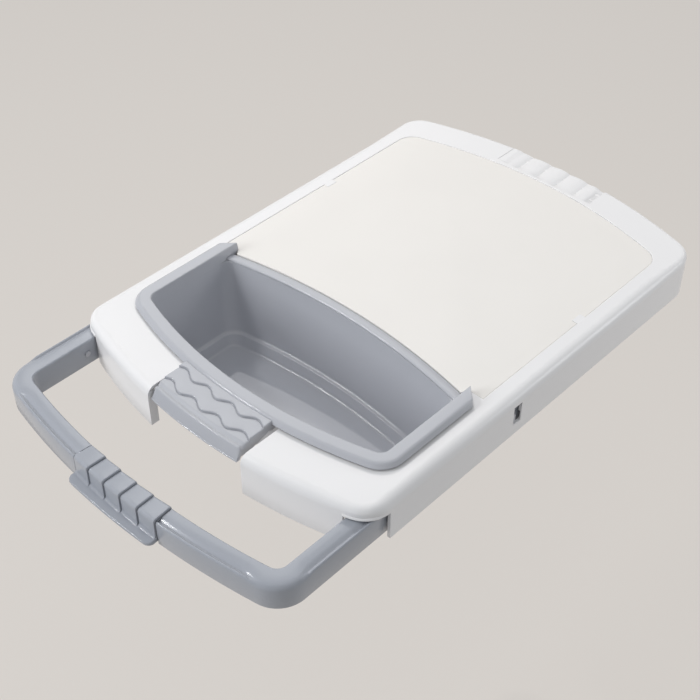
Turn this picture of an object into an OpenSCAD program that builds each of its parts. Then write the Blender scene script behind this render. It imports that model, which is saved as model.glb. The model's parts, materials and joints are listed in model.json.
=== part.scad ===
// Over-the-sink cutting board: a white deck with an inset cutting panel,
// a lift-out tray with a wavy pull, and a handle that slides out at the front.
// The origin is under the rear rest strip, +Y points to the rear and +Z up.

/* [Board] */
// Width of the board across its sides
board_w = 255; // [235:1:300]
// Length of the board along its centre line
board_l = 368; // [350:1:430]
// Height of the skirt up to the deck
skirt_h = 30.7; // [28:0.1:40]
// Radius of the bowed front and rear edges
bow_r = 375; // [320:5:600]
// Plan radius of the four corners
corner_r = 20; // [16:0.5:24]
// Fillet between the deck and the skirt
edge_r = 6; // [4:0.25:8]
// Thickness of the skirt
wall_t = 2.2; // [2:0.1:2.8]
// Thickness of the deck
deck_t = 2.6; // [2.2:0.1:3.2]

/* [Cutting panel] */
// Thickness of the cutting panel
panel_t = 4; // [3:0.25:5]
// Width of the deck's rim beside the panel
panel_side = 15; // [13:0.5:20]
// Width of the deck's rim behind the panel
panel_behind = 26.5; // [24:0.5:34]
// Plan radius of the panel's rear corners
panel_corner_r = 14; // [8:1:20]
// Depth of the panel's top below the deck
panel_drop = 0.3; // [0.1:0.1:0.8]
// Gap round the panel
panel_gap = 0.25; // [0.15:0.05:0.5]
// Thickness of the pan under the panel
pan_t = 2.2; // [1.6:0.1:3]
// Distance of the side tabs from the rear edge
tab_behind = 133; // [110:1:160]
// Length of each side tab along the panel's edge
tab_l = 9; // [6:0.5:14]
// Reach of each side tab over the panel's edge line
tab_in = 4; // [2:0.25:6]

/* [Rear grip] */
// Width of the ridged grip in the rear rim
rear_grip_w = 83; // [70:1:100]
// Number of ridges on the rear grip
rear_ridges = 5; // [3:1:7]
// Height of one ridge's step
rear_ridge_h = 1.2; // [0.8:0.1:2]
// Depth of the ridges' crests below the deck
rear_crest_drop = 1.4; // [0.4:0.1:2]
// Depth of the grip's seat below the deck
rear_seat_drop = 4; // [3.6:0.1:5]

/* [Tray] */
// Length of the tray from its front rim to its rear lip
tray_l = 112; // [90:1:130]
// Distance of the tray's front rim from the board's front edge
tray_ahead = 29.5; // [27:0.5:40]
// Depth of the tray's floor below the deck
tray_depth = 61; // [45:1:75]
// Height of the tray's rim above the deck
rim_h = 5; // [3.5:0.25:7]
// Width of the rim's flat top
rim_top_w = 7.4; // [5:0.2:9]
// Width of the rim's sloping flank
rim_flank_w = 3.7; // [2:0.1:5]
// Width of the low lip at the tray's rear
back_lip_w = 5; // [3:0.25:8]
// Depth of the rear lip's top below the deck
back_lip_drop = 1; // [0.4:0.1:2]
// Thickness of the rear lip
back_lip_t = 3; // [2:0.1:4]
// Distance of the side rims' rear ends from the rear lip's edge
rim_open_l = 6.5; // [5:0.1:12]
// Run of the side rims' angled rear ends over their width
rim_slant = 11; // [4:0.5:14]
// Thickness of the tray's walls and floor
tray_wall = 1.8; // [1.4:0.1:2.6]
// Inward lean of the tray's walls over their height
tray_draft = 11; // [5:0.5:13]
// Fillet round the tray's floor
tray_floor_r = 8; // [4:0.5:10]
// Plan radius of the tray's corners
tray_corner_r = 7; // [5:0.5:14]
// Growth of the corners' radius for each unit of lean
tray_corner_grow = 0.6; // [0:0.1:0.8]
// Bow radius of the tray's front
tray_front_r = 330; // [280:5:500]
// Bow radius of the tray's rear
tray_rear_r = 440; // [380:5:700]
// Gap between the tray's walls and the deck's opening
tray_gap = 1; // [0.5:0.1:1.6]

/* [Tray pull] */
// Width of the pull
pull_w = 75; // [60:1:90]
// Depth of the pull's front face below its top
pull_drop = 13; // [9:0.5:16]
// Depth of the pull's top below the rim's top
pull_sink = 1.2; // [0.4:0.1:2]
// Run of the pull's sloping front face
nose_run = 5; // [3:0.25:7]
// Width of the nose's crest
nose_crest = 1.6; // [0.8:0.1:3]
// Rise of the nose's crest above the deck
nose_rise = 0.5; // [0:0.1:1.2]
// Rounding at the nose's crest
nose_soft = 1.2; // [0.6:0.1:2]
// Distance of the pull's front face behind the board's front edge
pull_back = 1.4; // [0.6:0.1:3]
// Length of one wave along the pull
wave_pitch = 21; // [18:0.5:30]
// Half height of a wave in plan
wave_amp = 2; // [1:0.1:3]
// Distance from one wavy step to the next
wave_step = 11.7; // [9:0.1:14]
// Drop of each wavy step
wave_drop = 1.3; // [0.6:0.1:1.6]
// Shift of the waves across the pull
wave_shift = -1.8; // [-6:0.2:6]
// Gap between the pull and the notch on each side
notch_gap = 4; // [2:0.25:6]
// Depth of the walls beside the notch
cheek_l = 6.5; // [5:0.5:12]

/* [Handle] */
// Distance of the handle's front from the board's front edge
handle_reach = 59; // [50:1:80]
// Width of the handle's arms and bar
arm_w = 13.4; // [11:0.2:16]
// Height of the handle's underside above the counter
handle_lift = 2.5; // [1.5:0.25:4]
// Bow radius of the handle's bar
bar_r = 550; // [450:10:800]
// Plan radius of the handle's corners at the middle of the bar
bend_r = 14; // [10:0.5:20]
// Wall thickness of the handle's channel
handle_wall = 2.4; // [2:0.1:3]
// Bevel along the handle's outer top edge
bevel = 2; // [1:0.1:3]
// Bevel along the handle's lower edges
low_bevel = 1.2; // [0.6:0.1:2]
// Gap left between the pushed-in bar and the board
park_gap = 5; // [4:0.25:9]
// Gap between an arm and the skirt
arm_gap = 1.2; // [0.8:0.1:2]

/* [Handle grip] */
// Width of the ridged sleeve on the bar
grip_w = 73; // [60:1:90]
// Number of ridges on the sleeve
grip_ridges = 5; // [3:1:6]
// Thickness of the sleeve where it is flush with the bar
sleeve_t = 2; // [1.4:0.1:2.4]
// Rise of each ridge above the bar
ridge_rise = 1.7; // [1:0.1:2.6]
// Reach of the finger lip in front of the bar
lip_reach = 7.5; // [4:0.25:10]
// Thickness of the finger lip
lip_t = 3; // [2:0.1:4]

/* [Arm guides] */
// Thickness of the guide rails
rail_t = 2.4; // [2:0.1:3]
// Gap between a rail and its arm
slide_gap = 0.5; // [0.3:0.05:0.8]
// Height of the rail's tongue
tongue_h = 3.6; // [2.6:0.1:4.6]
// Reach of the tongue into the arm's groove
tongue_in = 2.2; // [1.6:0.1:3]
// Distance of the catches from the board's front edge
catch_ahead = 152; // [140:1:190]
// Distance of the stop pins from the board's front edge
pin_ahead = 9; // [6:0.25:12]
// Diameter of the stop pins
pin_d = 4; // [3:0.1:5]
// Diameter of the screws' shanks
screw_d = 3; // [2.5:0.1:3.5]

/* [Catches] */
// Width of a catch's nose
catch_w = 6; // [4:0.25:7]
// Height of a catch's nose
catch_h = 6; // [4:0.25:7]
// Travel of a pressed catch
catch_travel = 2; // [1.5:0.1:2.5]
// Reach of a catch's nose into the skirt
nose_in = 0.9; // [0.5:0.05:1.1]
// Height of the skirt's window
window_h = 15; // [9:0.5:16]
// Thickness of the catch's leaf spring
spring_t = 0.4; // [0.3:0.05:0.6]

/* [Rest strip and feet] */
// Width of the rear rest strip
strip_w = 120; // [80:2:140]
// Depth of the rest strip from front to rear
strip_d = 10; // [8:0.5:11]
// Distance of the strip's middle from the rear edge
strip_behind = 13; // [12:0.5:18]
// Height of the skirt's lower edge above the counter
skirt_lift = 0.3; // [0.2:0.1:1.5]
// Thickness of the strip's foot below its rail
strip_foot_t = 1.6; // [1.2:0.1:3]
// Distance of each handle foot from the middle
foot_x = 70; // [60:1:85]
// Length of each handle foot
foot_l = 16; // [10:1:24]

/* [Hidden] */
$fn = 48;

// Fine steps and overlaps of cuts
skin = 0.01;
over = 1;
least_r = 1.5;
bow_steps = 18;
corner_steps = 7;
edge_steps = 5;
wave_steps = 60;

// Length of the rear lip's returns under the side rims
back_lip_run = 15;

// Named clearances
seat_gap = 0.1;
fit_gap = 0.1;
part_gap = 0.3;
pin_gap = 0.02;
tongue_gap = 0.4;
flank_gap = 0.2;
lip_gap = 0.6;
collar_gap = 0.6;

// Board
half_w = board_w / 2;
rear_y = strip_behind;
front_y = rear_y - board_l;
deck_z = skirt_lift + skirt_h;
inner_hw = half_w - wall_t;
under_deck_z = deck_z - deck_t;
board_s = [half_w, front_y, rear_y, bow_r, bow_r, corner_r];

// Pan under the cutting panel
panel_top_z = deck_z - panel_drop;
panel_z = panel_top_z - panel_t;
pan_z = panel_z - pan_t;

// Handle section, hung below the pan and the rail's flange
flange_t = 2;
arm_door_l = 36.5;
bevel_bulge = 0.3;
screw_head_ratio = 1.9;
flange_z = pan_z - slide_gap - flange_t;
handle_top = flange_z - slide_gap;
handle_h = handle_top - handle_lift;
arm_out = inner_hw - arm_gap;
arm_in = arm_out - arm_w;
arm_x = (arm_out + arm_in) / 2;
bar_front = front_y - handle_reach;
bar_mid_y = bar_front + arm_w / 2;
travel = handle_reach - arm_w - park_gap;
bend_a = asin((arm_x - bend_r) / (bar_r - bend_r));
bend_y = bar_mid_y + bar_r - (bar_r - bend_r) * cos(bend_a);
bar_c = [0, bar_mid_y + bar_r, 0];
grip_a = asin(grip_w / 2 / bar_r);
inner_bevel = bevel / 2;
neck_inset = sleeve_t + fit_gap;
lap = 0.5;
lap_a = asin(lap / bar_r);
lap_step = 0.05;

// Guide rails, beside the tray's opening
collar_t = 1.5;
collar_h = 6;
rail_out = arm_in - slide_gap;
rail_in = rail_out - rail_t;
tongue_z = (handle_lift + handle_top) / 2 - tongue_h / 2;
pin_y = front_y + pin_ahead;
pin_z = tongue_z + tongue_h / 2;
pin_proud = 0.9;
catch_y = front_y + catch_ahead;
catch_z = pin_z;
arm_tail = 12;
arm_rear = catch_y + arm_tail;
rail_front = pin_y + travel + pin_d / 2 + part_gap;
rail_rear = arm_rear + travel + part_gap;
groove_front = front_y + corner_r + wall_t + pin_d;
tongue_front = groove_front + travel + part_gap;
boss_d = 2 * screw_d;
screw_ys = [rail_front + boss_d, (rail_front + rail_rear) / 2, rail_rear - boss_d];
screw_head_d = screw_head_ratio * screw_d;
screw_head_h = (screw_head_d - screw_d) / 2;
screw_l = under_deck_z - flange_z;

// Tray, inside the rails and the opening's collar
tray_hw = rail_in - collar_gap - collar_t - tray_gap - tray_wall;
rim_w = rim_top_w + rim_flank_w;
tray_front = front_y + tray_ahead;
tray_rear = tray_front + tray_l;
tray_in_front = tray_front + rim_w;
tray_in_rear = tray_rear - back_lip_w;
tray_s = [tray_hw, tray_in_front, tray_in_rear, tray_front_r, tray_rear_r, tray_corner_r];
rim_s = [tray_hw, tray_in_front, tray_rear + rim_w, tray_front_r, tray_rear_r, tray_corner_r];
rim_top_z = deck_z + rim_h;
rim_z = deck_z + seat_gap;
lip_z = deck_z - back_lip_drop;
floor_z = deck_z - tray_depth;
rim_foot = tray_rear - rim_open_l;
lip_front = rim_foot - back_lip_run;
tray_bend = asin((tray_hw - tray_corner_r) / (tray_rear_r - tray_corner_r));
tray_bend_y = tray_in_rear - tray_rear_r + (tray_rear_r - tray_corner_r) * cos(tray_bend);
open_side = tray_wall + tray_gap;
open_rear = back_lip_w + lip_gap;
opening_s = [
    tray_hw + open_side, tray_in_front - open_side, tray_in_rear + open_rear,
    tray_front_r + open_side, tray_rear_r + open_rear, tray_corner_r + open_side
];

// Panel plan
panel_hw = half_w - panel_side;
panel_rear = rear_y - panel_behind;
panel_front = tray_bend_y;
panel_s = [
    panel_hw, panel_front - 2 * panel_corner_r, panel_rear,
    bow_r, bow_r - panel_behind, panel_corner_r
];
pan_wall = 2;
tab_y = rear_y - tab_behind;

// Rear grip
rear_grip_front = panel_rear + panel_gap + pan_wall;
rear_pitch = rear_grip_w / rear_ridges;
rear_seat_z = deck_z - rear_seat_drop;
rear_seat_t = 2;

// Pull, measured inward from the board's front edge
pull_top = rim_top_z - pull_sink;
pull_z = pull_top - pull_drop;
pull_rear = tray_ahead + rim_flank_w;
wave_first = tray_ahead - wave_amp - rim_flank_w / 2;
wave_second = wave_first - wave_step;
pull_wall = 2.4;
pull_roof = 3;
pull_seat_drop = 5;
pull_end_lift = 2;
notch_hw = pull_w / 2 + notch_gap;
bow_c_y = front_y + bow_r;
pull_a = asin((pull_w / 2 + 5 * over) / bow_r);
tongue_seat_z = deck_z - pull_seat_drop;
pull_tongue_rear = tray_ahead + rim_w - tray_wall - part_gap;
pull_screw_x = pull_w / 3;
pull_screw_u = tray_ahead + rim_flank_w;
pull_screw_l = rim_top_z - over - tongue_seat_z;

// Catches
mouth_gap = 0.3;
spring_room = 2.9;
catch_shoulder = 1.3;
nose_gap = 0.4;
window_gap = 0.75;
catch_flange_t = 1.8;
catch_flange_w = catch_w + 2 * catch_shoulder;
catch_tip = inner_hw + nose_in;
chamber_out = arm_out - handle_wall;
catch_back = chamber_out - fit_gap - catch_flange_t;
chamber_back = catch_back - catch_travel - spring_room;
track_d = nose_in + nose_gap;
window_w = catch_w + 2 * window_gap;
window_z = catch_z - catch_h / 2 - mouth_gap;
cover_t = 1.6;
cover_top = catch_z - catch_h / 2 - mouth_gap;

// Points along an arc
function arc_points(c, r, a0, a1, n, first = 0, last = 0) =
    [for (i = [first:n - last]) c + r * [cos(a0 + (a1 - a0) * i / n), sin(a0 + (a1 - a0) * i / n)]];

// Plan outline with bowed front and rear edges, straight sides and round corners, moved in by d.
// s holds the half width, the front and rear places, their bow radii and the corner radius.
function bowed(s, d = 0) =
    let (
        hw = s[0] - d,
        yf = s[1] + d,
        yr = s[2] - d,
        rf = s[3] - d,
        rr = s[4] - d,
        rc = max(s[5] - d, least_r),
        af = asin((hw - rc) / (rf - rc)),
        ar = asin((hw - rc) / (rr - rc)),
        cf = yf + rf - (rf - rc) * cos(af),
        cr = yr - rr + (rr - rc) * cos(ar)
    )
    concat(
        arc_points([hw - rc, cf], rc, af - 90, 0, corner_steps),
        arc_points([hw - rc, cr], rc, 0, 90 - ar, corner_steps),
        arc_points([0, yr - rr], rr, 90 - ar, 90 + ar, bow_steps, 1, 1),
        arc_points([rc - hw, cr], rc, 90 + ar, 180, corner_steps),
        arc_points([rc - hw, cf], rc, 180, 270 - af, corner_steps),
        arc_points([0, yf + rf], rf, 270 - af, 270 + af, bow_steps, 1, 1)
    );

// Distance of the board's front edge behind its foremost point, at x
function front_sag(x) = bow_r - sqrt(bow_r * bow_r - x * x);

module slice(s, d, z) {
    translate([0, 0, z]) linear_extrude(skin) polygon(bowed(s, d));
}

module plate(s, d, z0, z1) {
    translate([0, 0, z0]) linear_extrude(z1 - z0) polygon(bowed(s, d));
}

// Block on a bowed outline with a filleted top edge
module rounded_block(s, d, z0, z1, r) {
    hull() {
        plate(s, d, z0, z1 - r);
        for (k = [1:edge_steps])
            slice(s, d + r * (1 - cos(90 * k / edge_steps)), z1 - r + r * sin(90 * k / edge_steps) - skin);
    }
}

// Outline s leaned in by d, with its corners growing
function leaned(s, d) =
    [s[0] - d, s[1] + d, s[2] - d, s[3] - d, s[4] - d, s[5] + tray_corner_grow * d];

// Tub on a bowed outline with leaning walls and a filleted floor
module tub(s, d, z0, z1, r) {
    hull() {
        slice(s, d, z1 - skin);
        for (k = [0:edge_steps]) {
            a = 90 * k / edge_steps;
            slice(leaned(s, tray_draft), d + r * (1 - cos(a)), z0 + r - r * sin(a));
        }
    }
}

// Box between two corners
module block(low, high) {
    translate(low) cube(high - low);
}

// Mirrored copy for the left side
module on_side(side) {
    mirror([side < 0 ? 1 : 0, 0, 0]) children();
}

// Countersunk screw whose head is at z = 0, with its tip upward
module screw(l) {
    cylinder(h = screw_head_h, d1 = screw_head_d, d2 = screw_d);
    cylinder(h = l, d = screw_d);
}

// Clearance hole for a screw whose head is at z = 0
module screw_hole(l) {
    translate([0, 0, -skin])
        cylinder(h = screw_head_h + fit_gap, d1 = screw_head_d + 2 * fit_gap, d2 = screw_d);
    translate([0, 0, -over]) cylinder(h = over, d = screw_head_d + 2 * fit_gap);
    cylinder(h = l + over, d = screw_d + 2 * fit_gap);
}

// Board

module panel_plan(grow) {
    difference() {
        intersection() {
            polygon(bowed(panel_s, -grow));
            translate([-half_w, panel_front - grow]) square([board_w, board_l]);
        }
        polygon(bowed(opening_s));
        for (side = [-1, 1]) {
            translate([side * panel_hw, tab_y])
                square([2 * (tab_in - grow), tab_l - 2 * grow], center = true);
            // Corners under the ends of the tray's side rims
            mirror([side < 0 ? 1 : 0, 0]) translate([tray_hw - lip_gap + grow, front_y])
                square([board_w, rim_foot + lip_gap - grow - front_y]);
        }
    }
}

module tray_collar() {
    difference() {
        plate(opening_s, -collar_t, under_deck_z - collar_h, under_deck_z + skin);
        plate(opening_s, 0, under_deck_z - collar_h - over, under_deck_z + over);
        block([-half_w, lip_front - lip_gap, 0], [half_w, rear_y, deck_z]);
    }
}

module notch_cheek() {
    block([notch_hw, front_y + front_sag(notch_hw) + wall_t / 2, skirt_lift],
        [notch_hw + wall_t, front_y + front_sag(notch_hw) + cheek_l, under_deck_z + skin]);
}

module rest_rail() {
    difference() {
        block([-strip_w / 2, -strip_d / 2, strip_foot_t], [strip_w / 2, strip_d / 2, under_deck_z + skin]);
        block([-strip_w / 2 + wall_t, -strip_d / 2 + wall_t, 0],
            [strip_w / 2 - wall_t, strip_d / 2 - wall_t, under_deck_z - deck_t]);
    }
}

module rear_grip_seat() {
    intersection() {
        rounded_block(board_s, wall_t / 2, skirt_lift, deck_z, edge_r);
        block([-rear_grip_w / 2 - wall_t, rear_grip_front - pan_wall, rear_seat_z - rear_seat_t],
            [rear_grip_w / 2 + wall_t, rear_y, deck_z]);
    }
}

module rail_bosses() {
    for (y = screw_ys)
        translate([arm_x, y, flange_z + flange_t])
            cylinder(h = under_deck_z - flange_z - flange_t + skin, d = boss_d);
}

module skirt_cuts() {
    // Corner opening for the arm
    block([arm_in - pin_proud - part_gap, front_y - over, -over],
        [half_w + over, front_y + arm_door_l, handle_top + slide_gap]);
    // Window for the catch
    block([inner_hw - over, catch_y - window_w / 2, window_z],
        [half_w + over, catch_y + window_w / 2, window_z + window_h]);
    // Track of the catch's nose inside the skirt
    block([inner_hw - over, catch_y - window_w / 2, catch_z - catch_h / 2 - tongue_gap],
        [inner_hw + track_d, catch_y + travel + window_w / 2, catch_z + catch_h / 2 + tongue_gap]);
    // Pilot holes of the rail screws
    for (y = screw_ys)
        translate([arm_x, y, flange_z]) cylinder(h = screw_l + fit_gap, d = screw_d + 2 * pin_gap);
}

module board_shell() {
    color("white") difference() {
        union() {
            difference() {
                rounded_block(board_s, 0, skirt_lift, deck_z, edge_r);
                rounded_block(board_s, wall_t, skirt_lift - over, under_deck_z, edge_r - wall_t);
            }
            translate([0, 0, pan_z]) linear_extrude(deck_z - pan_z - panel_drop)
                panel_plan(panel_gap + pan_wall);
            rear_grip_seat();
            tray_collar();
            rest_rail();
            for (side = [-1, 1]) on_side(side) {
                notch_cheek();
                rail_bosses();
            }
        }
        translate([0, 0, panel_z]) linear_extrude(deck_z) panel_plan(panel_gap);
        block([-rear_grip_w / 2 - part_gap, rear_grip_front, rear_seat_z],
            [rear_grip_w / 2 + part_gap, rear_y + over, deck_z + over]);
        plate(opening_s, 0, -over, deck_z + over);
        block([-notch_hw, front_y - over, -over], [notch_hw, tray_in_front, deck_z + over]);
        for (side = [-1, 1]) on_side(side) skirt_cuts();
    }
}

module cutting_panel() {
    color("ivory") translate([0, 0, panel_z]) linear_extrude(panel_t) panel_plan(0);
}

module rear_grip() {
    low = deck_z - rear_crest_drop - rear_ridge_h;
    points = [for (i = [0:rear_ridges - 1], e = [0, 1])
        [-rear_grip_w / 2 + (i + e) * rear_pitch - e * part_gap, low + e * rear_ridge_h]];
    color("white") intersection() {
        rounded_block(board_s, 0, skirt_lift, deck_z, edge_r);
        translate([0, rear_y + over, 0]) rotate([90, 0, 0])
            linear_extrude(rear_y + over - rear_grip_front - fit_gap)
                polygon(concat(points,
                    [[rear_grip_w / 2 - part_gap, rear_seat_z], [-rear_grip_w / 2, rear_seat_z]]));
    }
}

module rest_strip() {
    plug = strip_d - 2 * wall_t - 2 * fit_gap;
    color("dimgray") {
        block([-strip_w / 2, -strip_d / 2, 0], [strip_w / 2, strip_d / 2, strip_foot_t]);
        block([-strip_w / 2 + wall_t + fit_gap, -plug / 2, strip_foot_t - skin],
            [strip_w / 2 - wall_t - fit_gap, plug / 2, 3 * strip_foot_t]);
    }
}

// Guide rail of the right arm
module arm_rail() {
    color("gainsboro") difference() {
        union() {
            block([rail_in, rail_front, handle_lift + handle_wall],
                [rail_out, rail_rear, flange_z + flange_t]);
            block([rail_in, rail_front, flange_z], [arm_out - bevel, rail_rear, flange_z + flange_t]);
            block([rail_out - skin, tongue_front, tongue_z],
                [arm_in + tongue_in, rail_rear, tongue_z + tongue_h]);
        }
        for (y = screw_ys) translate([arm_x, y, flange_z]) screw_hole(screw_l);
    }
}

module left_arm_rail() {
    on_side(-1) arm_rail();
}

module right_arm_rail() {
    on_side(1) arm_rail();
}

module rail_screws() {
    color("silver") for (side = [-1, 1], y = screw_ys)
        translate([side * arm_x, y, flange_z]) screw(screw_l);
}

// Tray

// Rim with a sloping flank, before the inside is cut, grown by g
module rim_block(g = 0) {
    hull() {
        slice(rim_s, -rim_w - g, rim_z - g);
        slice(rim_s, -rim_top_w - g, rim_top_z + g - skin);
    }
}

// Space between and behind the side rims' angled ends
module behind_rims() {
    end_y = rim_foot - rim_slant;
    translate([0, 0, lip_z - over]) linear_extrude(rim_top_z - lip_z + 2 * over) polygon([
        [tray_hw, tray_bend_y], [tray_hw, rim_foot], [tray_hw + rim_w, end_y],
        [half_w, end_y], [half_w, rear_y], [-half_w, rear_y], [-half_w, end_y],
        [-tray_hw - rim_w, end_y], [-tray_hw, rim_foot], [-tray_hw, tray_bend_y]
    ]);
}

module tray_bin() {
    color("darkgray") difference() {
        union() {
            tub(tray_s, -tray_wall, floor_z - tray_wall, lip_z, tray_floor_r + tray_wall);
            difference() {
                union() {
                    rim_block();
                    plate(tray_s, -tray_wall, lip_z - skin, rim_top_z);
                }
                behind_rims();
            }
            difference() {
                plate(opening_s, lip_gap, lip_z - back_lip_t, lip_z);
                block([-half_w, front_y, floor_z], [half_w, lip_front, rim_top_z]);
            }
        }
        tub(tray_s, 0, floor_z, rim_top_z + over, tray_floor_r);
        for (side = [-1, 1])
            pull_screw_at(side) cylinder(h = pull_screw_l + fit_gap, d = screw_d + 2 * pin_gap);
    }
}

module pull_screw_at(side) {
    translate([side * pull_screw_x, front_y + front_sag(pull_screw_x) + pull_screw_u, tongue_seat_z])
        children();
}

// Region ahead of one wavy step
module ahead_of_wave(u) {
    hw = pull_w / 2 + over;
    polygon(concat(
        [for (i = [0:wave_steps]) let (x = -hw + 2 * hw * i / wave_steps)
            [x, front_y + front_sag(x) + u - wave_amp * cos(360 * (x - wave_shift) / wave_pitch)]],
        [[hw, front_y - over], [-hw, front_y - over]]
    ));
}

// Ring section of the pull along the board's bowed front
module along_front() {
    translate([0, bow_c_y, 0]) rotate([0, 0, 270 - pull_a])
        rotate_extrude(angle = 2 * pull_a, $fn = 360) mirror([1, 0]) translate([-bow_r, 0]) children();
}

// Section of the pull, x measured inward from the board's front edge
module pull_section() {
    nose_z = deck_z + nose_rise;
    nose_u = pull_back + nose_run;
    roof_z = pull_top - 2 * wave_drop - pull_roof;
    polygon([
        [pull_back, pull_z], [nose_u - nose_soft, nose_z - nose_soft],
        [nose_u, nose_z], [nose_u + nose_crest, nose_z],
        [wave_second - wave_amp, pull_top - 2 * wave_drop], [wave_second, pull_top],
        [pull_rear, pull_top], [pull_rear, tongue_seat_z],
        [pull_rear - pull_wall, tongue_seat_z], [pull_rear - pull_wall, roof_z], [wave_second, roof_z],
        [nose_u + nose_crest + nose_soft, nose_z - pull_roof],
        [nose_u + nose_crest - nose_soft, nose_z - pull_roof - nose_soft], [pull_back + pull_wall, pull_z]
    ]);
}

module tray_pull() {
    color("darkgray") difference() {
        union() {
            intersection() {
                along_front() pull_section();
                block([-pull_w / 2, front_y, 0], [pull_w / 2, tray_rear, rim_top_z]);
            }
            for (side = [-1, 1]) intersection() {
                along_front() translate([pull_back + pull_wall, pull_z + pull_end_lift])
                    square([pull_rear - pull_back - pull_wall, deck_z - pull_z - pull_roof]);
                block([side < 0 ? -pull_w / 2 : pull_w / 2 - pull_wall, front_y, 0],
                    [side < 0 ? pull_wall - pull_w / 2 : pull_w / 2, tray_rear, rim_top_z]);
            }
            intersection() {
                along_front() translate([pull_rear - pull_wall, tongue_seat_z])
                    square([pull_tongue_rear - pull_rear + pull_wall, rim_z - seat_gap - tongue_seat_z]);
                block([-pull_w / 2 + pull_wall, front_y, 0],
                    [pull_w / 2 - pull_wall, tray_rear, rim_top_z]);
            }
        }
        rim_block(flank_gap);
        tub(tray_s, -tray_wall - fit_gap, floor_z - tray_wall, rim_top_z, tray_floor_r + tray_wall);
        translate([0, 0, pull_top - wave_drop]) linear_extrude(pull_drop) ahead_of_wave(wave_first);
        translate([0, 0, pull_top - 2 * wave_drop]) linear_extrude(pull_drop) ahead_of_wave(wave_second);
        for (side = [-1, 1]) pull_screw_at(side) screw_hole(pull_screw_l);
    }
}

module pull_screws() {
    color("silver") for (side = [-1, 1]) pull_screw_at(side) screw(pull_screw_l);
}

// Handle

// Channel section of the handle, x outward from the middle of the bar,
// with its outside moved in by d and its channel by c
module handle_section(d = 0, c = 0) {
    hw = arm_w / 2 - d;
    top = handle_top - d;
    in = neck_inset + handle_wall + c;
    difference() {
        polygon([
            [-hw, handle_lift + low_bevel], [low_bevel - hw, handle_lift], [hw - low_bevel, handle_lift],
            [hw, handle_lift + low_bevel], [hw, top - bevel],
            [hw - bevel * bevel_bulge, top - bevel * bevel_bulge],
            [hw - bevel, top], [inner_bevel - hw, top], [-hw, top - inner_bevel]
        ]);
        translate([-arm_w / 2 + in, handle_lift - over]) square([arm_w - 2 * in, handle_h + over - in]);
    }
}

// Stretch of the bowed bar between two angles from its middle
module along_bar(a0, a1) {
    translate(bar_c) rotate([0, 0, 270 + a0]) rotate_extrude(angle = a1 - a0, $fn = 720)
        translate([bar_r, 0]) children();
}

// Place on the bar at an angle from its middle, with x outward and y along the bar
module at_bar(a) {
    translate(bar_c) rotate([0, 0, 270 + a]) translate([bar_r, 0, 0]) children();
}

module right_arm() {
    translate([arm_x, arm_rear, 0]) rotate([90, 0, 0]) linear_extrude(arm_rear - bend_y + lap)
        handle_section();
    translate([arm_x - bend_r, bend_y, 0]) rotate([0, 0, bend_a - 90])
        rotate_extrude(angle = 90 - bend_a) translate([bend_r, 0]) handle_section(-lap_step, lap_step);
    // Solid tail that houses the catch
    block([arm_in + handle_wall / 2, arm_rear - 2 * arm_tail, handle_lift],
        [arm_out - handle_wall / 2, arm_rear, handle_top - handle_wall / 2]);
}

module arm_cuts() {
    // Groove of the rail's tongue
    block([arm_in - over, groove_front, tongue_z - tongue_gap],
        [arm_in + tongue_in + tongue_gap, arm_rear + over, tongue_z + tongue_h + tongue_gap]);
    // Hole of the stop pin
    translate([arm_in - over, pin_y, pin_z]) rotate([0, 90, 0])
        cylinder(h = over + neck_inset + handle_wall, d = pin_d + 2 * pin_gap);
    // Chamber of the catch, open below, and its mouth
    block([chamber_back, catch_y - catch_flange_w / 2 - mouth_gap, handle_lift - over],
        [chamber_out, catch_y + catch_flange_w / 2 + mouth_gap, catch_z + catch_h / 2 + mouth_gap]);
    block([chamber_out - over, catch_y - catch_w / 2 - mouth_gap, catch_z - catch_h / 2 - mouth_gap],
        [arm_out + over, catch_y + catch_w / 2 + mouth_gap, catch_z + catch_h / 2 + mouth_gap]);
}

module handle_bow() {
    color("lightsteelblue") difference() {
        union() {
            for (side = [-1, 1]) on_side(side) right_arm();
            along_bar(-bend_a - lap_a, -grip_a) handle_section();
            along_bar(-grip_a - lap_a, grip_a + lap_a) handle_section(neck_inset, lap_step);
            along_bar(grip_a, bend_a + lap_a) handle_section();
        }
        for (side = [-1, 1]) on_side(side) arm_cuts();
    }
}

// Outer section of the sleeve, grown by g
module sleeve_section(g) {
    hw = arm_w / 2;
    round = bevel + g;
    polygon([
        [-hw, handle_lift + lip_t], [hw + g, handle_lift + lip_t], [hw + g, handle_top + g - round],
        [hw + g - round * bevel_bulge, handle_top + g - round * bevel_bulge],
        [hw + g - round, handle_top + g],
        [inner_bevel - hw, handle_top + g], [-hw, handle_top + g - inner_bevel]
    ]);
}

module sleeve_slice(a, g) {
    at_bar(a) rotate([90, 0, 0]) linear_extrude(skin) sleeve_section(g);
}

module handle_grip() {
    step_a = 2 * grip_a / grip_ridges;
    end_a = asin(part_gap / bar_r);
    lip_z0 = handle_lift + lip_t;
    color("lightsteelblue") difference() {
        union() {
            for (i = [0:grip_ridges - 1]) hull() {
                sleeve_slice(-grip_a + i * step_a + end_a, 0);
                sleeve_slice(-grip_a + (i + 1) * step_a - end_a, ridge_rise);
            }
            along_bar(-grip_a + 2 * end_a, grip_a - 2 * end_a)
                translate([part_gap - arm_w / 2, lip_z0 + part_gap])
                square([arm_w - 2 * part_gap, handle_top - bevel - lip_z0]);
            along_bar(-grip_a + end_a, grip_a - end_a) translate([arm_w / 2 - over, lip_z0])
                square([lip_reach + over, lip_t]);
        }
        along_bar(-grip_a - end_a, grip_a + end_a) translate([-arm_w / 2 + sleeve_t, 0])
            square([arm_w - 2 * sleeve_t, handle_top - sleeve_t]);
    }
}

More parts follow.
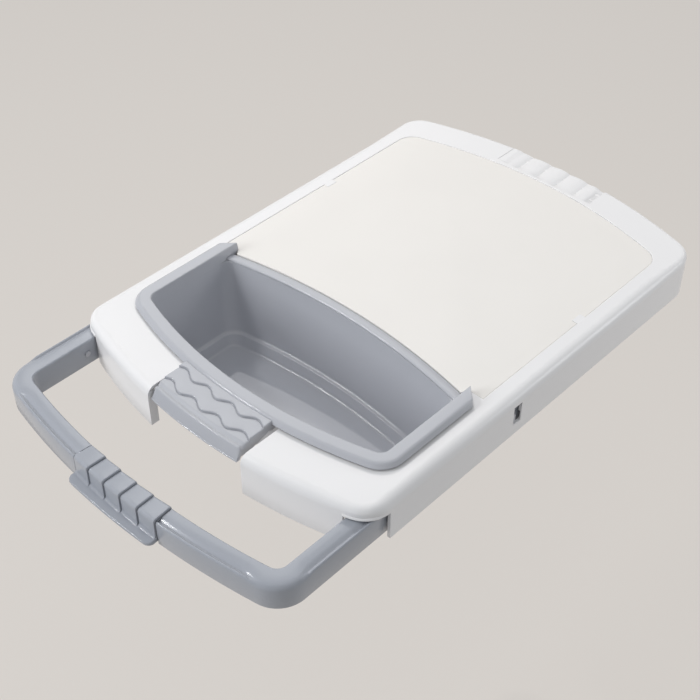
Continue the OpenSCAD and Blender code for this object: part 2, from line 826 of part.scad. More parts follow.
// Rubber foot plugged into the bar's channel
module handle_foot(side) {
    w = arm_w - 2 * neck_inset - 2 * handle_wall - 2 * fit_gap;
    color("dimgray") at_bar(side * asin(foot_x / bar_r)) {
        block([-w / 2, -foot_l / 2, 0], [w / 2, foot_l / 2, handle_lift + handle_h / 2]);
        block([-arm_w / 2 + handle_wall, -foot_l / 2, 0],
            [arm_w / 2 - handle_wall, foot_l / 2, handle_lift - fit_gap]);
    }
}

module left_handle_foot() {
    handle_foot(-1);
}

module right_handle_foot() {
    handle_foot(1);
}

module stop_pin() {
    color("slategray") translate([arm_in - pin_proud, pin_y, pin_z]) rotate([0, 90, 0])
        cylinder(h = pin_proud + neck_inset + handle_wall, d = pin_d);
}

module left_stop_pin() {
    on_side(-1) stop_pin();
}

module right_stop_pin() {
    on_side(1) stop_pin();
}

// Catch of the right arm, with a nose that slopes to the front
module catch() {
    color("slategray") translate([0, catch_y, catch_z - catch_h / 2]) linear_extrude(catch_h) polygon([
        [catch_back, -catch_flange_w / 2], [catch_back + catch_flange_t, -catch_flange_w / 2],
        [catch_back + catch_flange_t, -catch_w / 2], [catch_tip, -catch_w / 2], [catch_tip, 0],
        [arm_out, catch_w / 2], [catch_back + catch_flange_t, catch_w / 2],
        [catch_back + catch_flange_t, catch_flange_w / 2], [catch_back, catch_flange_w / 2]
    ]);
}

module left_catch() {
    on_side(-1) catch();
}

module right_catch() {
    on_side(1) catch();
}

// Leaf spring bent to a V behind the catch
module catch_spring() {
    foot = catch_flange_w / 2 - mouth_gap;
    x0 = chamber_back + fit_gap;
    x1 = catch_back - fit_gap;
    color("silver") translate([0, catch_y, catch_z - catch_h / 2 + mouth_gap])
        linear_extrude(catch_h - 2 * mouth_gap)
        polygon([
            [x0, -foot], [x1, 0], [x0, foot], [x0, foot - 2 * spring_t], [x1 - 2 * spring_t, 0],
            [x0, 2 * spring_t - foot]
        ]);
}

module left_catch_spring() {
    on_side(-1) catch_spring();
}

module right_catch_spring() {
    on_side(1) catch_spring();
}

// Cover that closes the catch's chamber from below and carries the catch
module catch_cover() {
    hw = catch_flange_w / 2 + mouth_gap - fit_gap;
    color("slategray") {
        block([chamber_back + fit_gap, catch_y - hw, handle_lift],
            [chamber_out - fit_gap, catch_y + hw, handle_lift + cover_t]);
        block([chamber_back + fit_gap, catch_y - catch_w / 2, handle_lift + cover_t - skin],
            [chamber_out - fit_gap, catch_y + catch_w / 2, cover_top]);
    }
}

module left_catch_cover() {
    on_side(-1) catch_cover();
}

module right_catch_cover() {
    on_side(1) catch_cover();
}

board_shell();
cutting_panel();
rear_grip();
rest_strip();
left_arm_rail();
right_arm_rail();
rail_screws();
tray_bin();
tray_pull();
pull_screws();
handle_bow();
handle_grip();
left_handle_foot();
right_handle_foot();
left_stop_pin();
right_stop_pin();
left_catch();
right_catch();
left_catch_spring();
right_catch_spring();
left_catch_cover();
right_catch_cover();
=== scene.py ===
"""Over-the-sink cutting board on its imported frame, in a plain studio."""
import json
import logging
import math
from dataclasses import dataclass, replace
from enum import Enum
from typing import Callable, ClassVar, Iterable, Sequence

import bmesh
import bpy
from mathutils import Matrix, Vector


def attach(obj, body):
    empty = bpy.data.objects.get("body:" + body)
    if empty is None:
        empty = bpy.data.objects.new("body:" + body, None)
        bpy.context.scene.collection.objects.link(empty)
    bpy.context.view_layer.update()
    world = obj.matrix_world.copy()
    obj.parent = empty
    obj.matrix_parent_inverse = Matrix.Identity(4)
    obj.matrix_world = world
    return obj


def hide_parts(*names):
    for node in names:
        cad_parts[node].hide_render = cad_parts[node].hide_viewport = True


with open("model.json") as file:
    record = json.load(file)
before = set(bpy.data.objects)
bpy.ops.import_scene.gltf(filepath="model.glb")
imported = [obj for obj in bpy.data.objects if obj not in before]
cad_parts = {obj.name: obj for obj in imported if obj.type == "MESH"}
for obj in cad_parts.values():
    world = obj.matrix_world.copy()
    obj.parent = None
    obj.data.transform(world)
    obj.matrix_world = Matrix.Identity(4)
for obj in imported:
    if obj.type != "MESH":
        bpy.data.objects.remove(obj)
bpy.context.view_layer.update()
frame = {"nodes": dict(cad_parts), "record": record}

LOG = logging.getLogger("cutting_board")
MM = 0.001
WELD = 2e-7
NEAR = 1e-6
CRISP = 32.0
Point = tuple[float, float]
Place = tuple[float, float, float]
Colour = tuple[float, float, float]
PLAIN: Colour = (1.0, 1.0, 1.0)


class Body(Enum):
    """Bodies of the frame that the pieces ride on."""

    BOARD = "board"
    TRAY = "tray"
    HANDLE = "handle"


class Slot(Enum):
    """Material slots of the record."""

    WHITE = "white_plastic"
    PANEL = "panel_plastic"
    GREY = "grey_plastic"
    DARK = "dark_plastic"
    STEEL = "spring_steel"
    RUBBER = "soft_rubber"


class Way(Enum):
    """Which side of an arc holds the material."""

    INSIDE = -1
    OUTSIDE = 1


def ease(a: float, b: float, x: float) -> float:
    """Smooth step from 0 at a to 1 at b."""
    t = min(1.0, max(0.0, (x - a) / (b - a)))
    return t * t * (3.0 - 2.0 * t)


def blend(a: float, b: float, t: float) -> float:
    """Value a fraction t of the way from a to b."""
    return a + (b - a) * t


def sag(r: float, x: float) -> float:
    """Drop of an arc of radius r from its crown, x away from its middle."""
    return r - math.sqrt(r * r - x * x)


def fan(a: float, b: float, steps: int) -> list[float]:
    """Even steps from a to b, both ends included."""
    return [blend(a, b, i / steps) for i in range(steps + 1)]


def unit(angle: float) -> Point:
    """Direction at an angle in degrees."""
    return math.cos(math.radians(angle)), math.sin(math.radians(angle))


def arc(x: float, y: float, r: float, angles: Sequence[float]) -> list[Point]:
    """Points on a circle about (x, y), at angles in degrees."""
    return [(x + r * dx, y + r * dy) for dx, dy in map(unit, angles)]


def quarter(steps: int, r: float = 1.0) -> list[Point]:
    """Insets of a rounded edge from its two faces, from the first face to the second."""
    return [(r * (1 - dx), r * (1 - dy)) for dx, dy in map(unit, fan(0.0, 90.0, steps))]


def rounded(path: Sequence[Place], steps: int) -> list[Point]:
    """Open line whose corners are rounded.

    Args:
        path: Corners, each with the radius of its rounding.
        steps: Steps on each rounding.

    Returns:
        The points of the line.
    """
    line = [path[0][:2]]
    for before, (x, y, r), after in zip(path, path[1:], path[2:]):
        if r == 0:
            line.append((x, y))
            continue
        corner = Vector((x, y))
        back, on = ((Vector(end[:2]) - corner).normalized() for end in (before, after))
        half = back.angle(on) / 2
        middle = corner + (back + on).normalized() * (r / math.sin(half))
        first, last = (corner + way * (r / math.tan(half)) - middle for way in (back, on))
        start = math.degrees(math.atan2(first.y, first.x))
        turn = math.degrees(first.angle_signed(last))
        line += arc(middle.x, middle.y, r, fan(start, start - turn, steps))
    return line + [path[-1][:2]]


class Skin:
    """Gathers the points and faces of one mesh, in millimetres."""

    ROUND_STEPS = 32

    def __init__(self) -> None:
        """Start with no points and no faces."""
        self.points: list[Place] = []
        self.faces: list[list[int]] = []

    def ring(self, places: Iterable[Place]) -> list[int]:
        """Add a row of points.

        Args:
            places: The points, in order.

        Returns:
            Their numbers in the mesh.
        """
        start = len(self.points)
        self.points.extend(places)
        return list(range(start, len(self.points)))

    def bridge(self, a: Sequence[int], b: Sequence[int], skip: Sequence[int] = ()) -> None:
        """Join two closed rows of the same length with four-sided faces.

        Args:
            a: First row.
            b: Second row.
            skip: Numbers of the spans left open.
        """
        for i in range(len(a)):
            j = (i + 1) % len(a)
            if i not in skip:
                self.faces.append([a[i], a[j], b[j], b[i]])

    def cap(self, row: Sequence[int]) -> None:
        """Close a row with one flat face."""
        self.faces.append(list(row))

    def loft(self, rows: Iterable[Iterable[Place]]) -> "Skin":
        """Skin a stack of closed rows and close both ends.

        Args:
            rows: Closed rows with the same number of points.

        Returns:
            This skin.
        """
        made = [self.ring(row) for row in rows]
        for a, b in zip(made, made[1:]):
            self.bridge(a, b)
        self.cap(made[0])
        self.cap(made[-1])
        return self

    def prism(self, outline: Sequence[Point], low: float, high: float) -> None:
        """Add an upright block with a plan outline."""
        self.loft([(x, y, z) for x, y in outline] for z in (low, high))

    def box(self, low: Place, high: Place) -> None:
        """Add a plain block between two corners."""
        (x0, y0, z0), (x1, y1, z1) = low, high
        self.prism([(x0, y0), (x1, y0), (x1, y1), (x0, y1)], z0, z1)

    def pair(self, low: Place, high: Place) -> None:
        """Add a plain block and its mirror image on the other side of the board."""
        self.box(low, high)
        self.box((-high[0], *low[1:]), (-low[0], *high[1:]))

    def post(self, x: float, y: float, low: float, high: float, r: float) -> None:
        """Add an upright round post."""
        self.prism(arc(x, y, r, fan(0.0, 360.0, self.ROUND_STEPS)[:-1]), low, high)

    def made(self, name: str, smooth: float = CRISP) -> bpy.types.Object:
        """Make an object of the gathered mesh.

        Args:
            name: Name of the object.
            smooth: Angle in degrees above which an edge stays crisp.

        Returns:
            The object, linked to the scene.
        """
        mesh = bpy.data.meshes.new(name)
        mesh.from_pydata([(x * MM, y * MM, z * MM) for x, y, z in self.points], [], self.faces)
        work = bmesh.new()
        work.from_mesh(mesh)
        bmesh.ops.remove_doubles(work, verts=work.verts, dist=WELD)
        bmesh.ops.dissolve_degenerate(work, edges=work.edges, dist=WELD)
        bmesh.ops.recalc_face_normals(work, faces=work.faces)
        work.to_mesh(mesh)
        work.free()
        soften(mesh, smooth)
        piece = bpy.data.objects.new(name, mesh)
        bpy.context.scene.collection.objects.link(piece)
        return piece


def soften(mesh: bpy.types.Mesh, angle: float) -> None:
    """Shade a mesh smooth up to an angle in degrees."""
    mesh.polygons.foreach_set("use_smooth", [True] * len(mesh.polygons))
    mesh.set_sharp_from_angle(angle=math.radians(angle))


def drop(piece: bpy.types.Object) -> None:
    """Remove an object and its mesh.

    Args:
        piece: Object that is no longer needed.
    """
    mesh = piece.data
    bpy.data.objects.remove(piece)
    bpy.data.meshes.remove(mesh)


def carve(piece: bpy.types.Object, cutter: bpy.types.Object, smooth: float = CRISP) -> None:
    """Cut one object out of another and drop the cutter.

    Args:
        piece: Object that is cut.
        cutter: Object whose space is taken away.
        smooth: Angle in degrees above which an edge stays crisp.
    """
    cut = piece.modifiers.new("cut", "BOOLEAN")
    cut.operation = "DIFFERENCE"
    cut.solver = "EXACT"
    cut.object = cutter
    graph = bpy.context.evaluated_depsgraph_get()
    mesh, old = bpy.data.meshes.new_from_object(piece.evaluated_get(graph)), piece.data
    piece.modifiers.clear()
    piece.data = mesh
    bpy.data.meshes.remove(old)
    drop(cutter)
    soften(mesh, smooth)


def merge(piece: bpy.types.Object, extra: bpy.types.Object) -> None:
    """Move the mesh of one object into another.

    Args:
        piece: Object that is kept.
        extra: Object whose mesh is added, and which is removed.
    """
    work = bmesh.new()
    work.from_mesh(piece.data)
    work.from_mesh(extra.data)
    work.to_mesh(piece.data)
    work.free()
    drop(extra)


@dataclass(frozen=True)
class Bowed:
    """Plan outline with bowed ends, straight sides and round corners, in millimetres."""

    half_w: float
    front: float
    rear: float
    front_r: float
    rear_r: float
    corner_r: float
    least_r: float = 1.5

    def front_at(self, x: float) -> float:
        """Place of the front edge at x."""
        return self.front + sag(self.front_r, x)

    def rear_at(self, x: float) -> float:
        """Place of the rear edge at x."""
        return self.rear - sag(self.rear_r, x)

    def bends(self, d: float = 0.0) -> tuple[float, float, float, float, float]:
        """Corner radius, bow angles and corner places of the outline moved in by d.

        Args:
            d: Distance inward.

        Returns:
            Corner radius, front and rear bow angles in degrees, front and rear corner y.
        """
        r = max(self.corner_r - d, self.least_r)
        reach = self.half_w - d - r
        rf, rr = self.front_r - d, self.rear_r - d
        af, ar = math.asin(reach / (rf - r)), math.asin(reach / (rr - r))
        cf = self.front + d + rf - (rf - r) * math.cos(af)
        cr = self.rear - d - rr + (rr - r) * math.cos(ar)
        return r, math.degrees(af), math.degrees(ar), cf, cr

    def leaned(self, d: float, grow: float) -> "Bowed":
        """Outline of a leaning wall moved in by d, whose corners grow by a share of d."""
        return Bowed(self.half_w - d, self.front + d, self.rear - d, self.front_r - d, self.rear_r - d,
                     self.corner_r + grow * d, self.least_r)

    def points(self, d: float, corner: int, bow: int) -> list[Point]:
        """Outline moved in by d, counter-clockwise from the right end of the front edge.

        Args:
            d: Distance inward.
            corner: Steps on each corner.
            bow: Steps on each bowed edge.

        Returns:
            The points of the outline.
        """
        r, af, ar, cf, cr = self.bends(d)
        cx = self.half_w - d - r
        rear, front = self.rear - self.rear_r, self.front + self.front_r
        return (arc(cx, cf, r, fan(af - 90, 0, corner)) + arc(cx, cr, r, fan(0, 90 - ar, corner))
                + arc(0, rear, self.rear_r - d, fan(90 - ar, 90 + ar, bow)[1:-1])
                + arc(-cx, cr, r, fan(90 + ar, 180, corner)) + arc(-cx, cf, r, fan(180, 270 - af, corner))
                + arc(0, front, self.front_r - d, fan(270 - af, 270 + af, bow)[1:-1]))


BOARD = Bowed(half_w=127.5, front=-355.0, rear=13.0, front_r=375.0, rear_r=375.0, corner_r=20.0)


@dataclass(frozen=True)
class Edge:
    """Section of the shell at one place of its plan loop."""

    low: float
    fillet: float
    wall: float


@dataclass(frozen=True)
class Station:
    """One place on a plan loop, with the direction into the material."""

    x: float
    y: float
    nx: float
    ny: float
    edge: Edge

    def at(self, d: float) -> Point:
        """Place moved into the material by d."""
        return self.x + self.nx * d, self.y + self.ny * d

    def mirror(self) -> "Station":
        """The same place on the other side of the board."""
        return replace(self, x=-self.x, nx=-self.nx)


def both_sides(half: Sequence[Station], first: int = 0) -> list[Station]:
    """Half a loop that ends in the middle, with its mirror image from there back to its first place."""
    return [*half, *(s.mirror() for s in reversed(half[first:-1]))]


class PlanLoop:
    """Plan loop of places, with the material on its left."""

    def __init__(self, stations: Iterable[Station] = ()) -> None:
        """Start with the places given."""
        self.stations = list(stations)

    def spot(self, x: float, y: float, nx: float, ny: float, edge: Edge) -> None:
        """Add one place with its direction into the material."""
        self.stations.append(Station(x, y, nx, ny, edge))

    def arc(self, centre: Point, r: float, angles: Sequence[float], edge: Edge, way: Way = Way.INSIDE) -> None:
        """Add places along an arc, at angles in degrees, with the material on one side."""
        for dx, dy in map(unit, angles):
            self.spot(centre[0] + r * dx, centre[1] + r * dy, way.value * dx, way.value * dy, edge)

    def row(self, depth: Callable[[Station], float], height: Callable[[Station], float]) -> list[Place]:
        """Row of points at a depth and a height that follow each place's section."""
        return [(*s.at(depth(s)), height(s)) for s in self.stations]


class NodeBoard:
    """Places and joins nodes in one node tree."""

    def __init__(self, tree: bpy.types.NodeTree) -> None:
        """Keep the tree that is filled."""
        self.tree = tree

    def feed(self, node: bpy.types.Node, values: dict[str | int, object]) -> bpy.types.Node:
        """Link sockets to a node's inputs, or set numbers and colours on them.

        Args:
            node: Node that is fed.
            values: Socket, number, vector or colour for each input, by its name or number.

        Returns:
            The node.
        """
        for label, value in values.items():
            if isinstance(value, bpy.types.NodeSocket):
                self.tree.links.new(value, node.inputs[label])
            else:
                node.inputs[label].default_value = (*value, 1.0) if isinstance(value, tuple) else value
        return node

    def add(self, kind: str, values: dict[str | int, object] | None = None, **traits: object) -> bpy.types.Node:
        """Add a node.

        Args:
            kind: Type of the node.
            values: What its inputs are fed.
            traits: Properties to set on it.

        Returns:
            The node.
        """
        node = self.tree.nodes.new(kind)
        for name, value in traits.items():
            setattr(node, name, value)
        return self.feed(node, values or {})

    def math(self, operation: str, a: object, b: object) -> bpy.types.NodeSocket:
        """Sum, product or other operation on two sockets or numbers."""
        return self.add("ShaderNodeMath", {0: a, 1: b}, operation=operation).outputs[0]

    def mix(self, factor: object, a: object, b: object, way: str = "MIX") -> bpy.types.NodeSocket:
        """Mix two colours, with the factor as the share of the second."""
        return self.add("ShaderNodeMix", {0: factor, 6: a, 7: b}, data_type="RGBA", blend_type=way).outputs[2]

    def noise(self, vector: bpy.types.NodeSocket, scale: object, detail: float) -> bpy.types.NodeSocket:
        """Noise over a vector, from 0 to 1."""
        return self.add("ShaderNodeTexNoise", {"Vector": vector, "Scale": scale, "Detail": detail}).outputs["Fac"]


class Effects:
    """Shader node groups that several finishes share."""

    # The second colour socket carries the colour of the painted shade in creases.
    COLOURS = ("Color", "PaintedShade")

    def __init__(self) -> None:
        """Build each group once."""
        self.grain = self._grain()
        self.crease = self._crease()

    def _group(self, name: str, takes: Sequence[str], gives: Sequence[str],
               ) -> tuple[NodeBoard, bpy.types.NodeInputs, bpy.types.Node]:
        """Start a node group.

        Args:
            name: Name of the group.
            takes: Names of its inputs.
            gives: Names of its outputs.

        Returns:
            The board, the sockets of the group's input node, and its output node.
        """
        tree = bpy.data.node_groups.new(name, "ShaderNodeTree")
        for way, labels in (("INPUT", takes), ("OUTPUT", gives)):
            for label in labels:
                kind = "NodeSocketColor" if label in self.COLOURS else "NodeSocketFloat"
                tree.interface.new_socket(name=label, in_out=way, socket_type=kind)
        board = NodeBoard(tree)
        return board, board.add("NodeGroupInput").outputs, board.add("NodeGroupOutput")

    def _grain(self) -> bpy.types.NodeTree:
        """Fine moulded grain with cloudy tone.

        Returns:
            The group's tree.
        """
        board, took, gave = self._group(
            "Moulded grain", ("Color", "Tone", "Scale", "Roughness", "Spread"), ("Color", "Roughness", "Height"))
        place = board.add("ShaderNodeTexCoord").outputs["Object"]
        fine = board.noise(place, took["Scale"], detail=3.0)
        cloud = board.noise(place, scale=23.0, detail=2.0)
        shade = board.math("SUBTRACT", 1.0, board.math("MULTIPLY", took["Tone"], cloud))
        tint = board.add("ShaderNodeCombineColor", {0: shade, 1: shade, 2: shade}).outputs[0]
        both = board.math("ADD", board.math("MULTIPLY", fine, 0.5), board.math("MULTIPLY", cloud, 0.5))
        swing = board.math("MULTIPLY", board.math("SUBTRACT", both, 0.5), took["Spread"])
        board.feed(gave, {
            "Color": board.mix(1.0, took["Color"], tint, "MULTIPLY"),
            "Roughness": board.math("ADD", took["Roughness"], swing), "Height": fine})
        return board.tree

    def _crease(self) -> bpy.types.NodeTree:
        """Painted shade that darkens creases and seams, placed by ambient occlusion.

        Returns:
            The group's tree.
        """
        board, took, gave = self._group("Crease shade", ("Color", "PaintedShade", "Reach", "Amount"), ("Color",))
        near = board.add("ShaderNodeAmbientOcclusion", {"Distance": took["Reach"]}, samples=4)
        dark = board.math("POWER", board.math("SUBTRACT", 1.0, near.outputs["AO"]), 2.0)
        share = board.math("MULTIPLY", dark, took["Amount"])
        board.feed(gave, {"Color": board.mix(share, took["Color"], took["PaintedShade"])})
        return board.tree


@dataclass(frozen=True)
class Finish:
    """One moulded or metal finish."""

    slot: Slot
    colour: Colour
    rough: float
    spread: float
    grain: float
    depth: float
    tone: float
    # Colour and share of the painted shade that darkens creases and seams
    crease_shade: Colour
    crease_shade_amount: float
    metal: float = 0.0
    specular: float = 0.5
    round_mm: float = 0.35
    # Reach of the occlusion that places the painted crease shade
    crease_shade_reach: float = 0.004

    def material(self, effects: Effects) -> bpy.types.Material:
        """Make the material of this finish, whose colour the piece's own colour multiplies.

        Args:
            effects: Shared node groups.

        Returns:
            The material.
        """
        made = bpy.data.materials.new(self.slot.value)
        made.use_nodes = True
        board = NodeBoard(made.node_tree)
        grain = board.add("ShaderNodeGroup", node_tree=effects.grain, values={
            "Color": self.colour, "Tone": self.tone, "Scale": self.grain, "Roughness": self.rough,
            "Spread": self.spread}).outputs
        batch = board.add("ShaderNodeObjectInfo").outputs["Color"]
        # The crease group mixes painted shade into creases and seams where ambient occlusion finds them.
        crease = board.add("ShaderNodeGroup", node_tree=effects.crease, values={
            "Color": board.mix(1.0, grain["Color"], batch, "MULTIPLY"), "PaintedShade": self.crease_shade,
            "Reach": self.crease_shade_reach, "Amount": self.crease_shade_amount})
        edge = board.add("ShaderNodeBevel", {"Radius": self.round_mm * MM}, samples=4)
        bump = board.add("ShaderNodeBump", {
            "Strength": 1.0, "Distance": self.depth * MM, "Normal": edge.outputs["Normal"],
            "Height": self.raised(board, grain["Height"])})
        board.feed(made.node_tree.nodes["Principled BSDF"], {
            "Metallic": self.metal, "Specular IOR Level": self.specular, "Base Color": crease.outputs["Color"],
            "Roughness": grain["Roughness"], "Normal": bump.outputs["Normal"]})
        return made

    def raised(self, board: NodeBoard, height: bpy.types.NodeSocket) -> bpy.types.NodeSocket:
        """Height with this finish's own marks; plain here."""
        return height


@dataclass(frozen=True)
class CutPanel(Finish):
    """Matte panel with a fine leathery grain and faint knife lines."""

    lines: float = 0.35
    rare: float = 0.69

    STROKES: ClassVar[tuple[tuple[float, Place], ...]] = ((24.0, (6.0, 420.0, 1.0)), (-57.0, (5.0, 360.0, 1.0)))

    def _strokes(self, board: NodeBoard) -> bpy.types.NodeSocket:
        """Thin lines in two directions, 1 on a line.

        Args:
            board: Board of the material.

        Returns:
            The mask of the lines.
        """
        place = board.add("ShaderNodeTexCoord").outputs["Object"]
        masks = []
        for turn, stretch in self.STROKES:
            laid = board.add("ShaderNodeMapping", {
                "Vector": place, "Rotation": Vector((0.0, 0.0, math.radians(turn))), "Scale": Vector(stretch)})
            streaks = board.noise(laid.outputs["Vector"], scale=1.0, detail=1.0)
            masks.append(board.math("GREATER_THAN", streaks, self.rare))
        return board.math("MAXIMUM", *masks)

    def raised(self, board: NodeBoard, height: bpy.types.NodeSocket) -> bpy.types.NodeSocket:
        """Grain with the knife lines pressed in."""
        return board.math("SUBTRACT", height, board.math("MULTIPLY", self._strokes(board), self.lines))


# Each finish's crease colour is painted shade, which ambient occlusion mixes into its creases.
FINISHES: tuple[Finish, ...] = (
    Finish(Slot.WHITE, (0.885, 0.872, 0.876), rough=0.25, spread=0.08, grain=1400.0, depth=0.012, tone=0.02,
           crease_shade=(0.46, 0.44, 0.41), crease_shade_amount=0.3, specular=0.35, round_mm=0.2),
    CutPanel(Slot.PANEL, (0.89, 0.858, 0.822), rough=0.52, spread=0.12, grain=2100.0, depth=0.02, tone=0.03,
             crease_shade=(0.5, 0.47, 0.42), crease_shade_amount=0.2, round_mm=0.4),
    Finish(Slot.GREY, (0.495, 0.503, 0.54), rough=0.14, spread=0.04, grain=1500.0, depth=0.010, tone=0.03,
           crease_shade=(0.12, 0.125, 0.135), crease_shade_amount=0.5, round_mm=0.5),
    Finish(Slot.DARK, (0.10, 0.104, 0.112), rough=0.45, spread=0.12, grain=1500.0, depth=0.015, tone=0.05,
           crease_shade=(0.05, 0.05, 0.05), crease_shade_amount=0.4),
    Finish(Slot.STEEL, (0.62, 0.62, 0.62), rough=0.32, spread=0.18, grain=2400.0, depth=0.01, tone=0.08,
           crease_shade=(0.16, 0.15, 0.14), crease_shade_amount=0.5, metal=1.0),
    Finish(Slot.RUBBER, (0.115, 0.118, 0.122), rough=0.78, spread=0.14, grain=900.0, depth=0.03, tone=0.08,
           crease_shade=(0.2, 0.19, 0.18), crease_shade_amount=0.3, specular=0.3),
)


def hang(name: str, data: bpy.types.ID, place: Sequence[float], aim: Sequence[float]) -> bpy.types.Object:
    """Hang a camera or a lamp so that it faces its aim.

    Args:
        name: Name of the object.
        data: The camera or lamp.
        place: Where it hangs, in metres.
        aim: What it faces, in metres.

    Returns:
        The object, linked to the scene.
    """
    hung = bpy.data.objects.new(name, data)
    hung.location = place
    hung.rotation_euler = (Vector(aim) - Vector(place)).to_track_quat("-Z", "Y").to_euler()
    bpy.context.scene.collection.objects.link(hung)
    return hung


@dataclass(frozen=True)
class Lamp:
    """Soft lamp, in metres and watts; a length makes it wider than high."""

    name: str
    place: Place
    watts: float
    size: float
    length: float = 0.0
    aim: Place = (0.0, -0.2, 0.03)
    tint: Colour = PLAIN
    mirrored: bool = True

    def build(self) -> None:
        """Hang the lamp; glossy surfaces show it only if it is mirrored."""
        light = bpy.data.lights.new(self.name, "AREA")
        light.shape = "RECTANGLE"
        light.size, light.size_y = self.length or self.size, self.size
        light.energy, light.color = self.watts, self.tint
        hang(self.name, light, self.place, self.aim).visible_glossy = self.mirrored


class Studio:
    """Camera, lamps, floor and background."""

    LENS_PX = 1289.3
    IMAGE_PX = 700.0
    SENSOR = 36.0
    EYE: Place = (435.6, -678.2, 570.3)
    AIM: Place = (24.6, -242.6, 31.0)
    BACK: Colour = (0.69, 0.653, 0.617)
    FILL: Colour = (0.89, 0.95, 1.0)
    FILL_STRENGTH = 0.33
    FLOOR_Z = -0.40
    FLOOR_REACH = 6000.0
    FLOOR_ROUGH = 0.9
    FLOOR_GLOW = 0.75
    LAMPS = (
        Lamp("key", (-0.681, 0.255, 0.978), watts=4.0, size=0.02, aim=(0.0, -0.265, 0.0),
             tint=(1.0, 0.965, 0.92), mirrored=False),
        Lamp("sheen", (-1.16, 0.70, 1.39), watts=4.5, size=1.0),
        Lamp("top", (0.5, -0.65, 1.65), watts=4.6, size=1.2, mirrored=False),
        Lamp("front", (-0.70, -1.70, 0.62), watts=10.0, size=0.6, tint=(0.96, 0.98, 1.0), mirrored=False),
        Lamp("brow", (-0.92, -1.14, 1.27), watts=6.0, size=0.07, length=0.34),
        Lamp("right", (0.62, 0.34, 0.24), watts=1.2, size=0.25, aim=(0.12, -0.05, 0.02)),
    )

    def camera(self) -> None:
        """Set the camera at the photograph's angle."""
        lens = bpy.data.cameras.new("camera")
        lens.sensor_fit = "HORIZONTAL"
        lens.sensor_width = self.SENSOR
        lens.lens = self.SENSOR * self.LENS_PX / self.IMAGE_PX
        bpy.context.scene.camera = hang("camera", lens, Vector(self.EYE) * MM, Vector(self.AIM) * MM)

    @staticmethod
    def _split(board: NodeBoard, plain: bpy.types.Node, seen: bpy.types.Node, out: str, share: float) -> None:
        """Show one shader to the rays that are seen and another to those that only light.

        Args:
            board: Board of the material or the world.
            plain: Shader for rays that only light.
            seen: Shader for camera, mirrored and passed rays.
            out: Name of the output node.
            share: Share of the second shader in the rays that are seen.
        """
        path = board.add("ShaderNodeLightPath").outputs
        both = board.math("MAXIMUM", path["Is Camera Ray"], path["Is Glossy Ray"])
        mask = board.math("MAXIMUM", both, path["Is Transmission Ray"])
        mixed = board.add("ShaderNodeMixShader", {
            0: board.math("MULTIPLY", mask, share), 1: plain.outputs[0], 2: seen.outputs[0]})
        board.feed(board.tree.nodes[out], {"Surface": mixed.outputs[0]})

    def floor(self) -> None:
        """Lay a pale floor well below the board."""
        skin, reach = Skin(), self.FLOOR_REACH
        skin.cap(skin.ring([(-reach, -reach, 0), (reach, -reach, 0), (reach, reach, 0), (-reach, reach, 0)]))
        laid = skin.made("floor")
        laid.location.z = self.FLOOR_Z
        made = bpy.data.materials.new("floor")
        made.use_nodes = True
        board = NodeBoard(made.node_tree)
        plain = made.node_tree.nodes["Principled BSDF"]
        board.feed(plain, {"Base Color": self.BACK, "Roughness": self.FLOOR_ROUGH})
        lit = board.add("ShaderNodeEmission", {"Color": self.BACK})
        self._split(board, plain, lit, "Material Output", self.FLOOR_GLOW)
        laid.data.materials.append(made)

    def world(self) -> None:
        """Give even fill light and a pale background."""
        sky = bpy.data.worlds.new("studio")
        sky.use_nodes = True
        bpy.context.scene.world = sky
        board = NodeBoard(sky.node_tree)
        fill = sky.node_tree.nodes["Background"]
        board.feed(fill, {"Color": self.FILL, "Strength": self.FILL_STRENGTH})
        back = board.add("ShaderNodeBackground", {"Color": self.BACK})
        self._split(board, fill, back, "World Output", 1.0)

    def build(self) -> None:
        """Set up the whole studio."""
        bpy.context.scene.view_settings.view_transform = "Standard"
        self.camera()
        self.floor()
        self.world()
        for lamp in self.LAMPS:
            lamp.build()


@dataclass
class Piece:
    """Common parts of every dressed sub-assembly."""

    finishes: dict[Slot, bpy.types.Material]

    BATCH: ClassVar[Colour] = PLAIN

    def dress(self, piece: bpy.types.Object, slot: Slot, body: Body, *nodes: str) -> None:
        """Give a piece its finish and its body, and let it stand for frame nodes.

        Args:
            piece: The new piece.
            slot: Material slot of its finish.
            body: Body that it rides on.
            nodes: Frame nodes that it replaces.
        """
        piece.data.materials.clear()
        piece.data.materials.append(self.finishes[slot])
        piece.color = (*self.BATCH, 1.0)
        if nodes:
            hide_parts(*nodes)
        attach(piece, body.value)
        LOG.info("%s rides on %s: %d faces", piece.name, body.value, len(piece.data.polygons))


